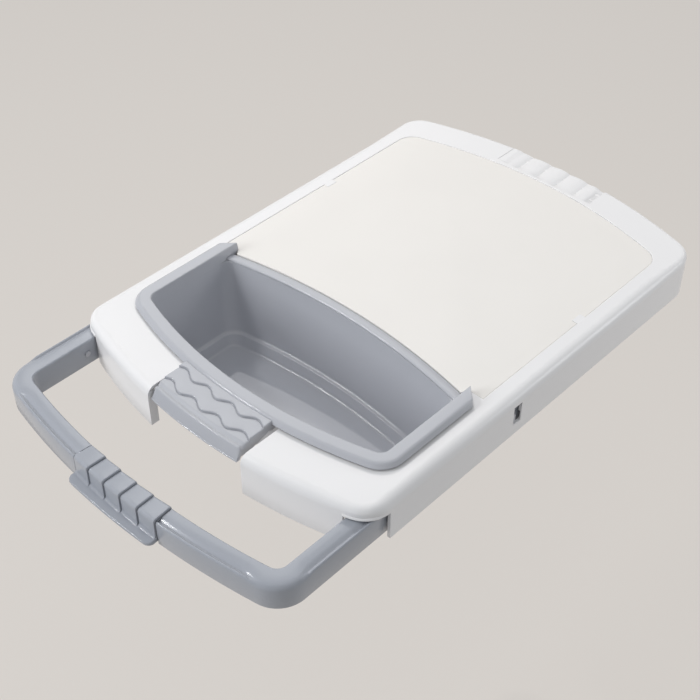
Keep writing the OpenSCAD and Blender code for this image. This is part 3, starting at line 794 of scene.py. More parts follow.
@dataclass
class BoardShell(Piece):
    """White deck with its skirt, notch, arm openings, windows and underside."""

    outline: Bowed = BOARD
    opening: Bowed = Bowed(half_w=105.7, front=-317.2, rear=-212.9, front_r=332.8, rear_r=445.6, corner_r=9.8)
    panel: Bowed = Bowed(half_w=112.75, front=-262.0, rear=-13.25, front_r=375.25, rear_r=348.75, corner_r=14.25)
    low: float = 0.3
    top: float = 31.0
    wall: float = 2.2
    ceiling: float = 28.4
    land: float = 0.3
    side_y: float = -60.0
    # Radii of the deck's edge, and where they change along and across the board
    side_fillet: float = 7.0
    rear_fillet: float = 3.6
    rear_ease: Point = (-45.0, -8.0)
    corner_fillet: float = 5.0
    corner_y: float = -332.0
    corner_ease: Point = (92.0, 116.0)
    front_fillet: float = 6.5
    fillet_steps: int = 12
    # Notch of the pull, its mouth and its cheeks
    notch_w: float = 41.5
    notch_left: float = 40.3
    notch_y: Point = (-400.0, -305.0)
    cheek_y: Point = (2.0, 6.0)
    cheek_drop: float = 1.2
    slit_w: float = 5.0
    mouth_r: float = 2.6
    mouth_fillet: float = 1.8
    mouth_ease: float = 24.0
    # Openings of the handle's arms, with the lip over each
    arm_in: float = 109.5
    arm_back: float = -318.5
    arm_top: float = 22.0
    bead_r: float = 1.2
    bead_out: float = 0.7
    bead_up: float = 1.05
    # Side windows of the catches, and the tracks of their noses: y and z
    window: tuple[float, float, float, float] = (-206.75, -199.25, 8.7, 23.7)
    track: tuple[float, float, float, float] = (-206.0, -158.6, 8.5, 15.5)
    track_d: float = 1.3
    # Pan below the panel
    collar_low: float = 22.4
    pan_low: float = 24.5
    pan_top: float = 26.68
    pan_lap: float = 1.9
    pan_front: float = 98.0
    pan_ear: Point = (-104.3, -1.0)
    jog: Point = (102.55, -219.65)
    # Seat of the rear grip
    grip_w: float = 41.8
    grip_front: float = -11.25
    grip_z: float = 27.0
    seat_low: float = 25.0
    seat_lap: float = 1.5
    seat_rim: float = 1.2
    seat_back: float = 10.0
    # Frame of the rest strip, tabs of the panel and posts of the screws
    rest_half: Point = (60.0, 5.0)
    rest_low: float = 1.6
    tab: tuple[Point, Point] = ((108.7, -124.3), (114.0, -115.7))
    tab_drop: float = 0.05
    post_x: float = 117.4
    post_ys: Place = (-297.1, -226.6, -156.1)
    post_low: float = 24.0
    post_r: float = 3.0
    # How far ribs run into the deck, the gap that keeps faces apart, and room round the cutters
    bury: float = 0.2
    apart: float = 0.02
    clear: Place = (1.0, 40.0, 60.0)
    clear_low: float = -20.0

    def _fillet(self, x: float, y: float) -> float:
        """Fillet radius of the deck's edge at a place on the outer outline.

        Args:
            x: Place across the board.
            y: Place along the board.

        Returns:
            The radius.
        """
        if y > self.arm_back:
            return blend(self.side_fillet, self.rear_fillet, ease(*self.rear_ease, y))
        mouth = self.slit_w + self.mouth_r
        plain = blend(self.mouth_fillet, self.front_fillet, ease(mouth, mouth + self.mouth_ease, abs(x)))
        corner = blend(self.corner_fillet, self.side_fillet, ease(self.corner_y, self.arm_back, y))
        return blend(plain, corner, ease(*self.corner_ease, abs(x)))

    def _outer(self) -> list[Station]:
        """Right half of the outer edge, from the notch's mouth to the rear's middle.

        Returns:
            The places, in order, on the right side.
        """
        half, o = PlanLoop(), self.outline
        r, af, ar, cf, cr = o.bends()
        cx = o.half_w - r
        front, rear = (0.0, o.front + o.front_r), (0.0, o.rear - o.rear_r)
        mx, reach = self.slit_w + self.mouth_r, o.front_r - self.mouth_r
        mouth = (mx, front[1] - math.sqrt(reach ** 2 - mx * mx))
        beta = math.degrees(math.asin(mx / reach))
        arm = math.degrees(math.asin(self.arm_in / o.front_r))
        back = math.degrees(math.asin((self.arm_back - cf) / r))
        skirt, open_ = (Edge(z, self.side_fillet, self.wall) for z in (self.low, self.arm_top))
        half.arc(mouth, self.mouth_r, fan(180, 270 + beta, 10), skirt)
        half.arc(front, o.front_r, fan(270 + beta, 270 + arm, 26), skirt)
        half.arc(front, o.front_r, fan(270 + arm, 270 + af, 2), open_)
        half.arc((cx, cf), r, fan(af - 90, back, 14), open_)
        half.arc((cx, cf), r, fan(back, 0, 4), skirt)
        for y in (*self.window[:2], self.side_y):
            half.spot(o.half_w, y, -1, 0, skirt)
        half.arc((cx, cr), r, fan(0, 90 - ar, 18), skirt)
        half.arc(rear, o.rear_r, fan(90 - ar, 90, 32), skirt)
        return half.stations

    def _inner(self) -> list[Station]:
        """Left half of the opening's and the panel recess's edge, from the notch to the rear.

        Returns:
            The places, in order, on the left side.
        """
        half, o, p = PlanLoop(), self.opening, self.panel
        r, af, _, cf, cr = o.bends()
        pr, _, pa, _, pc = p.bends()
        collar, lip = Edge(self.collar_low, fillet=0.8, wall=1.5), Edge(self.pan_low, fillet=0.5, wall=2.0)
        past = self.slit_w + self.wall + self.land
        start = math.degrees(math.asin(past / o.front_r))
        meet, beyond = o.front_at(self.slit_w), o.front_at(past) - collar.fillet - self.land
        slope = (beyond - meet) / (past - self.slit_w)
        for low in (self.low, self.collar_low):
            half.spot(-self.slit_w, meet, -1, slope, Edge(low, self.mouth_fillet, self.wall))
        half.arc((0.0, o.front + o.front_r), o.front_r, fan(270 - start, 270 - af, 20), collar, Way.OUTSIDE)
        half.arc((r - o.half_w, cf), r, fan(270 - af, 180, 8), collar, Way.OUTSIDE)
        turn = math.degrees(math.acos((o.half_w - r - self.jog[0]) / r))
        half.arc((r - o.half_w, cr), r, fan(180, turn, 6), collar, Way.OUTSIDE)
        for x in (self.jog[0], p.half_w):
            half.spot(-x, self.jog[1], -1, -1, lip)
        half.arc((pr - p.half_w, pc), pr, fan(180, 90 + pa, 12), lip, Way.OUTSIDE)
        half.arc((0.0, p.rear - p.rear_r), p.rear_r, fan(90 + pa, 90, 28)[1:], lip, Way.OUTSIDE)
        return half.stations

    def recess(self) -> list[Station]:
        """Left half of the panel recess's edge."""
        return [s for s in self._inner() if s.edge.low == self.pan_low]

    def _loop(self) -> PlanLoop:
        """Whole plan loop of the shell, with its fillets set."""
        outer = [replace(s, edge=replace(s.edge, fillet=self._fillet(s.x, s.y))) for s in self._outer()]
        return PlanLoop(both_sides(outer) + both_sides(self._inner()))

    def _hull(self) -> bpy.types.Object:
        """Deck and skirt as one hollow skin.

        Returns:
            The object.
        """
        loop, skin = self._loop(), Skin()
        y0, y1, sill, head = self.window
        holes = [i for i, (a, b) in enumerate(zip(loop.stations, loop.stations[1:]))
                 if abs(abs(a.x) - self.outline.half_w) < NEAR and {a.y, b.y} == {y0, y1}]
        levels = (self.low, sill, head)
        outer = [loop.row(lambda s: 0.0, lambda s: max(s.edge.low, z)) for z in levels]
        outer += [loop.row(lambda s: s.edge.fillet * run, lambda s: self.top - s.edge.fillet * fall)
                  for run, fall in quarter(self.fillet_steps)]
        outer.append(loop.row(lambda s: s.edge.fillet + self.land, lambda s: self.top))
        inner = [loop.row(lambda s: s.edge.wall, lambda s: max(s.edge.low, z)) for z in (*levels, self.ceiling)]
        outer, inner = ([skin.ring(row) for row in rows] for rows in (outer, inner))
        for rows in (outer, inner):
            for k, (a, b) in enumerate(zip(rows, rows[1:])):
                skin.bridge(a, b, holes if k == 1 else ())
            skin.cap(rows[-1])
        skin.bridge(outer[0], inner[0])
        for i in holes:
            for a, b, u, v in ((i, i + 1, 1, 1), (i + 1, i + 1, 1, 2), (i + 1, i, 2, 2), (i, i, 2, 1)):
                skin.faces.append([outer[u][a], outer[v][b], inner[v][b], inner[u][a]])
        return skin.made("board_shell_skin")

    def _arm_lips(self, skin: Skin) -> None:
        """Add the round lip over both arm openings.

        Args:
            skin: Mesh that is filled.
        """
        rows = []
        for s in self._outer():
            if s.edge.low == self.arm_top:
                out = min(self.bead_out, 0.5 * (self.outline.half_w - abs(s.x)))
                wheel = arc(self.bead_r - out, self.arm_top + self.bead_up, self.bead_r, fan(0.0, 315.0, 7))
                rows.append([(*s.at(d), z) for d, z in wheel])
        skin.loft(rows)
        skin.loft([(-x, y, z) for x, y, z in row] for row in rows)

    def _seat(self, skin: Skin) -> None:
        """Add the seat of the rear grip, with its two cheeks.

        Args:
            skin: Mesh that is filled.
        """
        half, front = self.grip_w + self.wall, self.grip_front - self.seat_lap
        rim = [(x, self.outline.rear_at(x) - self.seat_rim) for x in fan(half, -half, 20)]
        skin.prism([(-half, front), (half, front), *rim], self.seat_low, self.grip_z - self.apart)
        skin.pair((self.grip_w, front, self.seat_low), (half, self.seat_back, self.ceiling + self.land))

    def _underside(self) -> bpy.types.Object:
        """Pan under the panel, grip seat, strip frame, side tabs and screw posts.

        Returns:
            The object.
        """
        skin = Skin()
        left = [(self.pan_ear[0], self.jog[1] + self.pan_ear[1])]
        left += [s.at(self.pan_lap) for s in self.recess()][1:]
        front = [(x, self.opening.rear_at(x)) for x in fan(self.pan_front, -self.pan_front, 24)]
        skin.prism(left + [(-x, y) for x, y in reversed(left[:-1])] + front, self.pan_low, self.pan_top)
        self._seat(skin)
        self._arm_lips(skin)
        y0, y1 = (self.outline.front_at(self.notch_w) + y for y in self.cheek_y)
        for x in (-self.notch_left - self.wall, self.notch_w):
            skin.box((x + self.apart, y0, self.low), (x + self.wall - self.apart, y1, self.ceiling - self.cheek_drop))
        (x1, y1), high = self.rest_half, self.ceiling + self.bury
        for y in (-y1, y1 - self.wall):
            skin.box((-x1, y, self.rest_low), (x1, y + self.wall, high))
        skin.pair((x1 - self.wall, -y1, self.rest_low), (x1, y1, high))
        skin.pair((*self.tab[0], self.pan_low), (*self.tab[1], self.top - self.tab_drop))
        for x in (-self.post_x, self.post_x):
            for y in self.post_ys:
                skin.post(x, y, self.post_low, high, self.post_r)
        return skin.made("board_shell_under", smooth=40.0)

    def build(self) -> None:
        """Make the shell and let it stand for its frame node."""
        shell, cutter = self._hull(), Skin()
        side, rear, high = self.clear
        cutter.box((-self.grip_w, self.grip_front, self.grip_z), (self.grip_w, rear, high))
        cutter.box((-self.notch_left, self.notch_y[0], self.clear_low), (self.notch_w, self.notch_y[1], high))
        y0, y1, z0, z1 = self.track
        inside = self.outline.half_w - self.wall
        cutter.pair((inside - side, y0, z0), (inside + self.track_d, y1, z1))
        carve(shell, cutter.made("shell_cutter"))
        merge(shell, self._underside())
        shell.name = "board_shell_moulding"
        self.dress(shell, Slot.WHITE, Body.BOARD, "board_shell")


@dataclass
class CuttingPanel(Piece):
    """Cream panel in the shell's recess, with a soft upper edge."""

    shell: BoardShell
    top: float = 30.7
    low: float = 26.7
    soft: float = 0.5
    gap: float = 0.04
    front_half: float = 99.0

    def _edge(self) -> list[Station]:
        """Left half of the panel's edge, from the front's middle to the rear's middle.

        Returns:
            The places, each with the direction out of the panel.
        """
        half, o = PlanLoop(), self.shell.opening
        reach = math.degrees(math.asin(self.front_half / o.rear_r))
        plain = Edge(self.low, self.soft, 0.0)
        half.arc((0.0, o.rear - o.rear_r), o.rear_r, fan(90.0, 90.0 + reach, 30), plain)
        return half.stations + [s for s in self.shell.recess() if s.x < -self.front_half or s.y > o.rear]

    def build(self) -> None:
        """Make the panel and let it stand for its frame node."""
        loop = PlanLoop(both_sides(self._edge(), first=1))
        rows = [loop.row(lambda s: -self.gap, lambda s: self.low)]
        rows += [loop.row(lambda s: -self.gap - d, lambda s: self.top - fall) for d, fall in quarter(6, self.soft)]
        panel = Skin().loft(rows).made("cutting_panel_insert", smooth=50.0)
        self.dress(panel, Slot.PANEL, Body.BOARD, "cutting_panel")


@dataclass
class RearGrip(Piece):
    """White insert with overlapping finger ridges in the rear rim."""

    half_w: float = 41.77
    ridges: int = 5
    rise: float = 1.65
    base: float = 28.3
    floor: float = 27.0
    front: float = -11.05
    soft: float = 2.4
    least_face: float = 0.1
    flat: Point = (2.0, 0.4)
    apart: float = 0.02
    last: float = 0.72
    first: float = 1.45
    first_run: float = 0.4

    RIDGE: ClassVar[tuple[Point, ...]] = (
        (0.0, 0.0), (0.05, 0.16), (0.12, 0.36), (0.22, 0.6), (0.34, 0.82), (0.46, 0.95), (0.58, 1.0), (0.7, 0.95),
        (0.8, 0.8), (0.88, 0.58), (0.94, 0.32), (0.98, 0.1))
    FRONT_EDGE: ClassVar[tuple[Point, ...]] = ((0.0, 0.5), (0.15, 0.15), (0.5, 0.0))

    def _slice(self, x: float, h: float) -> list[Place]:
        """Closed section of the insert at x.

        Args:
            x: Place across the board.
            h: Height of the ridge there, from 0 to 1.

        Returns:
            The section's points.
        """
        top, back = self.base + self.rise * h, BOARD.rear_at(x) - self.apart
        soft = min(self.soft, top - self.floor - self.least_face)
        row = [(self.front, self.floor)] + [(self.front + run, top - fall) for run, fall in self.FRONT_EDGE]
        row += [(y, top) for y in fan(self.front + self.flat[0], back - soft - self.flat[1], 6)]
        row += [(back - run, top - fall) for run, fall in reversed(quarter(6, soft))]
        return [(x, y, z) for y, z in [*row, (back, self.floor)]]

    def build(self) -> None:
        """Make the insert and let it stand for its frame node."""
        pitch = 2 * self.half_w / self.ridges
        rows = []
        for i in range(self.ridges):
            share = self.last if i == self.ridges - 1 else 1.0
            for t, h in self.RIDGE:
                height = max(h, self.first) if i == 0 and t < self.first_run else h
                rows.append(self._slice(-self.half_w + (i + t * share) * pitch, height))
        rows.append(self._slice(self.half_w, 0.0))
        self.dress(Skin().loft(rows).made("rear_grip_ridges", smooth=50.0), Slot.WHITE, Body.BOARD, "rear_grip")


@dataclass
class Tray(Piece):
    """Grey lift-out tray with a raised rim at the sides and front."""

    inside: Bowed = Bowed(half_w=102.9, front=-314.4, rear=-218.5, front_r=330.0, rear_r=440.0, corner_r=7.0)
    corner: int = 14
    bow: int = 64
    wall: float = 1.8
    floor: float = -30.0
    # Band at the foot of the wall: height, run, and the ledge above it
    band_h: float = 8.5
    band_run: float = 6.0
    ledge: float = 2.6
    ledge_drop: float = 1.0
    ledge_soft: float = 2.0
    ledge_edge: float = 0.8
    fold_soft: float = 2.4
    floor_run: float = 3.0
    draft: float = 11.0
    draft_top: float = 37.0
    corner_grow: float = 0.6
    levels: Place = (20.0, 8.0, -4.0)
    last_level: float = -12.0
    # Rim, with the dark gap below it
    top: float = 36.0
    seat: float = 31.1
    top_w: float = 8.4
    rim_w: float = 11.1
    rim_foot: float = -220.0
    rim_ends: Place = (0.0, 0.5, 1.5)
    seam: float = 28.6
    seam_lap: float = 0.2
    inner_soft: float = 0.9
    outer_soft: float = 2.6
    under_soft: float = 0.5
    gap: float = 1.3
    gap_d: float = 3.0
    # Low lip along the rear
    lip: float = 30.0
    lip_w: float = 5.45
    lip_t: float = 3.0
    lip_soft: float = 1.8
    lip_wall: float = 1.6
    lip_past: float = 1.9

    LIP_EDGE: ClassVar[tuple[Point, ...]] = ((0.7, 0.0), (0.2, 0.2), (0.0, 0.7))

    def _lean(self, z: float) -> float:
        """Distance of the inner wall inside the rim's inner edge at height z."""
        return self.draft * (self.draft_top - z) / (self.draft_top - self.floor - self.band_h)

    def _line(self, d: float) -> list[Point]:
        """Outline of the tray's inner side moved in by d, or of its rim moved out."""
        shape = self.inside.leaned(d, self.corner_grow) if d > 0 else self.inside
        return shape.points(min(d, 0.0), self.corner, self.bow)

    def _row(self, d: float, out: float, z: float) -> list[Place]:
        """Outline of the wall d inside the rim's edge, moved out by the wall's thickness, at height z."""
        shape = self.inside.leaned(min(d, self.draft), self.corner_grow)
        return [(x, y, z) for x, y in shape.points(max(d - self.draft, 0.0) - out, self.corner, self.bow)]

    def _tub(self, skin: Skin) -> None:
        """Add the walls and the floor.

        Args:
            skin: Mesh that is filled.
        """
        tops = []
        foot = self.draft + self.band_run
        for out in (0.0, self.wall):
            low = self.floor - out
            fold = low + self.band_h
            bowl = [(self._lean(z), z) for z in (self.seam, *self.levels)]
            bowl += rounded([(self._lean(self.last_level), self.last_level, 0.0),
                             (self.draft, fold, self.ledge_soft),
                             (self.draft + self.ledge, fold - self.ledge_drop, self.ledge_edge),
                             (foot, low, self.fold_soft), (foot + self.floor_run, low, 0.0)], 6)
            rows = [skin.ring(self._row(d, out, z)) for d, z in bowl]
            for a, b in zip(rows, rows[1:]):
                skin.bridge(a, b)
            skin.cap(rows[-1])
            tops.append(rows[0])
        skin.bridge(*tops)

    def _section(self) -> list[Point]:
        """Closed section of the rim.

        Returns:
            Distances inside the rim's inner edge, with heights.
        """
        under, root = self.seat + self.gap, self.gap_d - self.rim_w
        inner = self.seam_lap - self.wall
        return rounded([
            (self._lean(self.seam), self.seam, 0.0), (0.0, self.top, self.inner_soft),
            (-self.top_w, self.top, self.outer_soft), (-self.rim_w, under, self.under_soft), (root, under, 0.0),
            (root, self.seat, 0.0), (inner, self.seat, 0.0), (inner, self.seam, 0.0)], 7)

    def _rim(self, skin: Skin) -> None:
        """Add the raised rim along the sides and front.

        Args:
            skin: Mesh that is filled.
        """
        rims = []
        for d, z in self._section():
            line = self._line(d)
            front = line[-self.bow - self.corner:] + line[:self.corner + 1]
            x, end = self.inside.half_w - d, self.rim_foot + min(d, 0.0)
            left = [(-x, end - run) for run in self.rim_ends]
            right = [(x, y) for _, y in reversed(left)]
            rims.append([(px, py, z) for px, py in left + front + right])
        skin.loft(zip(*rims))

    def _back_lip(self, skin: Skin) -> None:
        """Add the low lip along the rear.

        Args:
            skin: Mesh that is filled.
        """
        lean, low = self._lean(self.lip), self.lip - self.lip_t
        row = [(self._lean(self.seam), self.seam)]
        row += [(lean - run, self.lip - fall) for run, fall in quarter(7, self.lip_soft)]
        row += [(run - self.lip_w, self.lip - fall) for run, fall in self.LIP_EDGE]
        wall = lean - self.lip_wall
        row += [(-self.lip_w, low), (wall, low), (wall, self.seam - self.seam_lap)]
        reach = self.inside.half_w + self.lip_past
        skin.loft([(x, self.inside.rear_at(x) - d, z) for d, z in row] for x in fan(-reach, reach, 80))

    def build(self) -> None:
        """Make the tray and let it stand for its frame node."""
        skin = Skin()
        self._tub(skin)
        self._rim(skin)
        self._back_lip(skin)
        self.dress(skin.made("tray_moulding", smooth=38.0), Slot.GREY, Body.TRAY, "tray_bin")


@dataclass
class TrayPull(Piece):
    """Grey pull in the notch, with two wavy steps and a rounded nose."""

    half_w: float = 38.2
    shift: float = -1.2
    top: float = 34.8
    rear: float = 31.3
    shelf_drop: float = 1.6
    shelf_run: float = 3.0
    shelf_soft: Point = (0.2, 0.3)
    wave_pitch: float = 21.0
    wave_amp: float = 2.0
    wave_shift: float = -0.8
    waves: Point = (25.65, 13.95)
    drop: float = 1.35
    step_soft: float = 0.55
    # End walls: thickness, lower edge, and the rounding of their upper edge from nose to rear
    end_wall: float = 2.4
    end_low: float = 24.4
    end_rear: float = 2.0
    top_end_r: float = 0.7
    nose_end_r: float = 2.4
    nose_ease: Point = (7.0, 11.5)
    fall_ease: Point = (22.6, 30.0)
    draw: float = 0.3
    draw_ease: Point = (9.0, 3.0)
    slices: int = 150
    tongue_gap: float = 0.1

    STEP: ClassVar[tuple[Place, ...]] = ((0.05, 0.3, 0.12), (0.5, 0.3, 0.12), (0.85, 0.0, 0.2))
    NOSE: ClassVar[tuple[Place, ...]] = (
        (9.9, 32.1, 1.6), (7.6, 30.8, 0.9), (5.4, 31.5, 1.25), (2.0, 23.3, 0.4), (1.45, 23.05, 0.15),
        (1.5, 22.4, 0.15), (2.4, 22.4, 0.0))
    HOLLOW: ClassVar[tuple[Point, ...]] = (
        (4.2, 22.4), (5.2, 25.0), (6.6, 27.6), (8.4, 28.4), (13.0, 29.2), (30.6, 29.2), (30.7, 26.2), (30.9, 26.2),
        (31.0, 31.3), (31.2, 32.6))
    TONGUE: ClassVar[tuple[Point, ...]] = ((30.0, 26.15), (38.3, 26.15), (38.3, 30.95), (30.0, 30.95))
    END_SLICES: ClassVar[tuple[float, ...]] = (2.3, 1.6, 1.0, 0.7, 0.45, 0.25, 0.1, 0.03, 0.0)

    def _crown(self, x: float) -> list[Point]:
        """Upper line of the pull at x, from the rim over both wavy steps and the nose to the lower edge.

        Args:
            x: Place across the pull.

        Returns:
            Distances behind the board's front edge, with heights.
        """
        swing = self.wave_amp * math.cos(2 * math.pi * (x - self.wave_shift) / self.wave_pitch)
        z, shelf = self.top, self.top - self.shelf_drop
        inner, outer = self.shelf_soft
        path = [(self.rear + self.shelf_run, shelf, 0.0), (self.rear, shelf, inner), (self.rear, z, outer)]
        for mean in self.waves:
            line, foot = mean - swing, z - self.drop
            path += [(line, z, self.step_soft), *((line - run, foot - dip, r) for run, dip, r in self.STEP)]
            z = foot
        return rounded([*path, *self.NOSE], 5)

    def _slice(self, x: float, solid: bool) -> list[Place]:
        """Closed section of the pull at x.

        Args:
            x: Place across the pull.
            solid: Whether the section is that of an end wall.

        Returns:
            The section's points.
        """
        row: list[Point] = []
        for u, z in self._crown(x):
            r = blend(self.nose_end_r, self.top_end_r, ease(*self.nose_ease, u))
            over = max(0.0, abs(x) - (self.half_w - r))
            fall = (r - math.sqrt(max(0.0, r * r - over * over))) * ease(*self.fall_ease, z)
            row.append((u + self.draw * fall * ease(*self.draw_ease, u), z - fall))
        end = self.rear - self.end_rear
        row += [(u, min(z, self.end_low)) if solid and u < end else (u, z) for u, z in self.HOLLOW]
        place = x + self.shift
        return [(place, BOARD.front_at(place) + u, z) for u, z in row]

    def build(self) -> None:
        """Make the pull and let it stand for its frame node."""
        inside = self.half_w - self.end_wall
        ends = [inside] + [self.half_w - d for d in self.END_SLICES]
        rows = [self._slice(-x, True) for x in reversed(ends)]
        rows += [self._slice(x, False) for x in fan(-inside, inside, self.slices)]
        rows += [self._slice(x, True) for x in ends]
        reach = inside - self.tongue_gap
        skin = Skin().loft(rows)
        skin.loft([(x, BOARD.front_at(x) + u, z) for u, z in self.TONGUE] for x in fan(-reach, reach, 40))
        self.dress(skin.made("tray_pull_waves", smooth=44.0), Slot.GREY, Body.TRAY, "tray_pull")


@dataclass
class BarPiece(Piece):
    """Sizes that the handle and its grip share; both come from a batch darker than the tray's."""

    BATCH: ClassVar[Colour] = (0.78, 0.805, 0.835)

    half_bar: float = 6.7
    top: float = 21.5
    bar_r: float = 550.0
    bar_mid: float = -407.3
    grip_w: float = 36.5

    def on_bar(self, angle: float, out: float = 0.0) -> Point:
        """Place at an angle in radians from the bar's middle, moved out from its middle line."""
        r = self.bar_r + out
        return r * math.sin(angle), self.bar_mid + self.bar_r - r * math.cos(angle)


@dataclass(frozen=True)
class Spot:
    """One place on the handle's middle line, with its outward direction and its section."""

    x: float
    y: float
    dx: float
    dy: float
    neck: float = 0.0
    hollow: bool = True


@dataclass
class HandleBow(BarPiece):
    """Grey U-shaped handle of two arms, two bends and a bowed bar, hollow from below."""

    low: float = 2.5
    arm_x: float = 117.4
    arm_rear: float = -191.0
    arm_mid: float = -300.0
    tail: float = 24.0
    tail_step: float = 0.01
    bend_leads: Point = (8.0, 4.0)
    bend_r: float = 14.0
    bend_y: float = -383.232
    bend_a: float = 11.1227
    neck: float = 2.1
    wall: float = 4.5
    plug: float = 0.4
    outer_soft: float = 4.2
    inner_soft: float = 1.2
    low_soft: float = 1.1
    low_share: float = 0.3
    bead_ease: Point = (97.0, 105.5)
    bead_run: float = 8.0

    GROOVE: ClassVar[tuple[Place, Place]] = ((109.7, -328.8, 9.9), (113.2, -190.0, 14.1))
    CHAMBER: ClassVar[tuple[Place, Place]] = ((114.9, -207.6, 1.5), (121.7, -198.4, 15.3))
    MOUTH: ClassVar[tuple[Place, Place]] = ((120.7, -206.3, 8.7), (125.1, -199.7, 15.3))
    BEAD: ClassVar[tuple[Point, ...]] = (
        (0.0, -2.2), (-0.03, -1.5), (-0.2, -0.9), (-0.55, -0.5), (-1.0, -0.4), (-1.45, -0.62), (-1.8, -1.05),
        (-2.15, -1.5), (-2.6, -1.65), (-3.3, -1.4), (-4.2, -0.8), (-5.2, -0.24), (-6.2, 0.0))

    def _bead(self, spot: Spot) -> float:
        """Share of the bead on the outer top edge, which fades in the bends and stops at the grip."""
        bar, arm = 1.0 - ease(*self.bead_ease, abs(spot.x)), ease(self.bend_y, self.bend_y + self.bead_run, spot.y)
        return 0.0 if spot.neck else max(bar, arm)

    def _section(self, spot: Spot) -> list[Place]:
        """Closed section of the handle.

        Args:
            spot: Place on the middle line.

        Returns:
            The section's points.
        """
        w, top, low, bead = self.half_bar - spot.neck, self.top - spot.neck, self.low, self._bead(spot)
        soft, part = self.low_soft, self.low_share * self.low_soft
        foot = [(w - soft, low), (w - part, low + part), (w, low + soft)]
        outer = zip(quarter(len(self.BEAD) - 1, self.outer_soft), self.BEAD)
        row = foot + [(w + blend(-run, u, bead), top + blend(-fall, v, bead)) for (run, fall), (u, v) in outer]
        row += [(run - w, top - fall) for run, fall in reversed(quarter(7, self.inner_soft))]
        row += [(-o, z) for o, z in reversed(foot)]
        inside, roof = self.half_bar - self.wall, self.top - self.wall if spot.hollow else low + self.plug
        row += [(-inside, low), (-inside, roof), (inside, roof), (inside, low)]
        return [(spot.x + spot.dx * o, spot.y + spot.dy * o, z) for o, z in row]

    def _path(self) -> list[Spot]:
        """Right half of the handle's middle line, from the arm's rear end to the bar's middle.

        Returns:
            The places, in order.
        """
        split = self.arm_rear - self.tail
        leads = (self.bend_y + lead for lead in self.bend_leads)
        ys = (self.arm_rear, split, split - self.tail_step, self.arm_mid, *leads)
        path = [Spot(self.arm_x, y, 1.0, 0.0, hollow=y < split) for y in ys]
        r, centre = self.bend_r, self.arm_x - self.bend_r
        for dx, dy in map(unit, fan(0.0, self.bend_a - 90.0, 16)):
            path.append(Spot(centre + r * dx, self.bend_y + r * dy, dx, dy))
        grip = math.degrees(math.asin(self.grip_w / self.bar_r))
        for start, end, steps, neck in ((self.bend_a, grip, 20, 0.0), (grip, 0.0, 10, self.neck)):
            for a in map(math.radians, fan(start, end, steps)):
                path.append(Spot(*self.on_bar(a), math.sin(a), -math.cos(a), neck))
        return path

    def build(self) -> None:
        """Make the handle and let it stand for its frame node."""
        right = self._path()
        left = [replace(s, x=-s.x, dx=-s.dx) for s in reversed(right[:-1])]
        bow = Skin().loft(map(self._section, right + left)).made("handle_bow_skin", smooth=40.0)
        for low, high in (self.GROOVE, self.CHAMBER, self.MOUTH):
            cutter = Skin()
            cutter.pair(low, high)
            carve(bow, cutter.made("arm_cutter"), smooth=40.0)
        bow.name = "handle_bow_moulding"
        self.dress(bow, Slot.GREY, Body.HANDLE, "handle_bow")


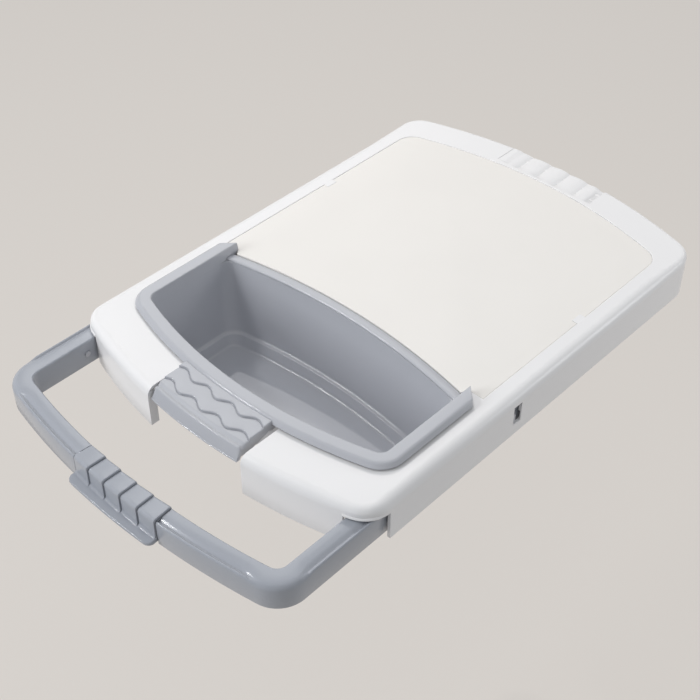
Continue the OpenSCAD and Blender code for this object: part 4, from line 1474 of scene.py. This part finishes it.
@dataclass
class HandleGrip(BarPiece):
    """Grey clip-on sleeve with overlapping ridges and a finger lip."""

    ridges: int = 5
    rise: float = 1.5
    face_share: float = 0.6
    margin: float = 0.3
    low: float = 5.5
    soft: float = 2.0
    flat: Point = (2.0, 0.4)
    sleeve: float = 2.0
    foot_r: float = 2.0
    foot_share: float = 0.5
    lip_reach: float = 7.4
    lip_t: float = 2.8
    lip_least: float = 0.35
    lip_end: float = 4.5
    lip_end_r: float = 4.6

    RIDGE: ClassVar[tuple[Point, ...]] = (
        (0.0, 0.0), (0.08, 0.12), (0.2, 0.28), (0.35, 0.46), (0.5, 0.63), (0.65, 0.78), (0.8, 0.9), (0.9, 0.97),
        (0.94, 1.0), (0.955, 0.97), (0.965, 0.86), (0.97, -0.25), (0.995, -0.25))
    BACK_EDGE: ClassVar[tuple[Place, ...]] = ((0.0, 1.0, 0.6), (0.3, 0.35, 0.9), (1.0, 0.0, 1.0))
    TIP: ClassVar[tuple[Point, ...]] = ((0.9, 0.0), (0.25, 0.35))

    def _slice(self, x: float, h: float) -> list[Place]:
        """Closed section of the sleeve at x.

        Args:
            x: Place along the bar.
            h: Height of the ridge there, from 0 to 1.

        Returns:
            The section's points.
        """
        b, low, grown = self.half_bar, self.low, self.rise * h
        top, out = self.top + grown, grown * self.face_share
        face, foot = b + out, low + self.lip_t
        row = [(-b, low)] + [(run - b, self.top - fall + share * grown) for run, fall, share in self.BACK_EDGE]
        row += [(o, top) for o in fan(self.flat[0] - b, b - self.soft - self.flat[1], 4)]
        row += [(face - run, top - fall) for run, fall in reversed(quarter(7, self.soft))]
        row += [(face, z) for z in fan(top - self.soft, foot + self.foot_r, 4)[1:]]
        spread = self.foot_r - self.foot_share * out
        row += [(face + spread * run, foot + self.foot_r * fall) for run, fall in quarter(6)[1:]]
        end = max(0.0, abs(x) - (self.grip_w - self.lip_end)) / self.lip_end_r
        tip = b + self.lip_reach * blend(self.lip_least, 1.0, math.sqrt(max(0.0, 1.0 - end * end)))
        row += [*((tip - run, foot - fall) for run, fall in self.TIP), (tip, low + self.lip_t / 2)]
        row += [(tip - run, low + fall) for run, fall in reversed(self.TIP)]
        c, roof = b - self.sleeve, self.top - self.sleeve
        row += [(c, low), (c, roof), (-c, roof), (-c, low)]
        return [(*self.on_bar(math.asin(x / self.bar_r), o), z) for o, z in row]

    def build(self) -> None:
        """Make the sleeve and let it stand for its frame node."""
        reach = self.grip_w - self.margin
        pitch = 2 * reach / self.ridges
        rows = [self._slice((i + t) * pitch - reach, h) for i in range(self.ridges) for t, h in self.RIDGE]
        rows.append(self._slice(reach, 0.0))
        self.dress(Skin().loft(rows).made("handle_grip_ridges", smooth=46.0), Slot.GREY, Body.HANDLE, "handle_grip")


@dataclass
class FrameParts(Piece):
    """Frame nodes whose own shape is right."""

    def build(self) -> None:
        """Give each frame node its finish."""
        slots = {entry["node"]: Slot(entry["material_slot"]) for entry in frame["record"]["subparts"]}
        for name, node in frame["nodes"].items():
            node.data.materials.clear()
            node.data.materials.append(self.finishes[slots[name]])
            if not node.hide_render:
                LOG.info("frame node %s keeps its shape, finish %s", name, slots[name].value)


def main() -> None:
    """Build the studio and every sub-assembly in order."""
    logging.basicConfig(level=logging.INFO, format="%(name)s: %(message)s")
    effects = Effects()
    finishes = {finish.slot: finish.material(effects) for finish in FINISHES}
    Studio().build()
    shell = BoardShell(finishes)
    shell.build()
    CuttingPanel(finishes, shell).build()
    for maker in (RearGrip, Tray, TrayPull, HandleBow, HandleGrip, FrameParts):
        maker(finishes).build()


if __name__ == "__main__":
    main()
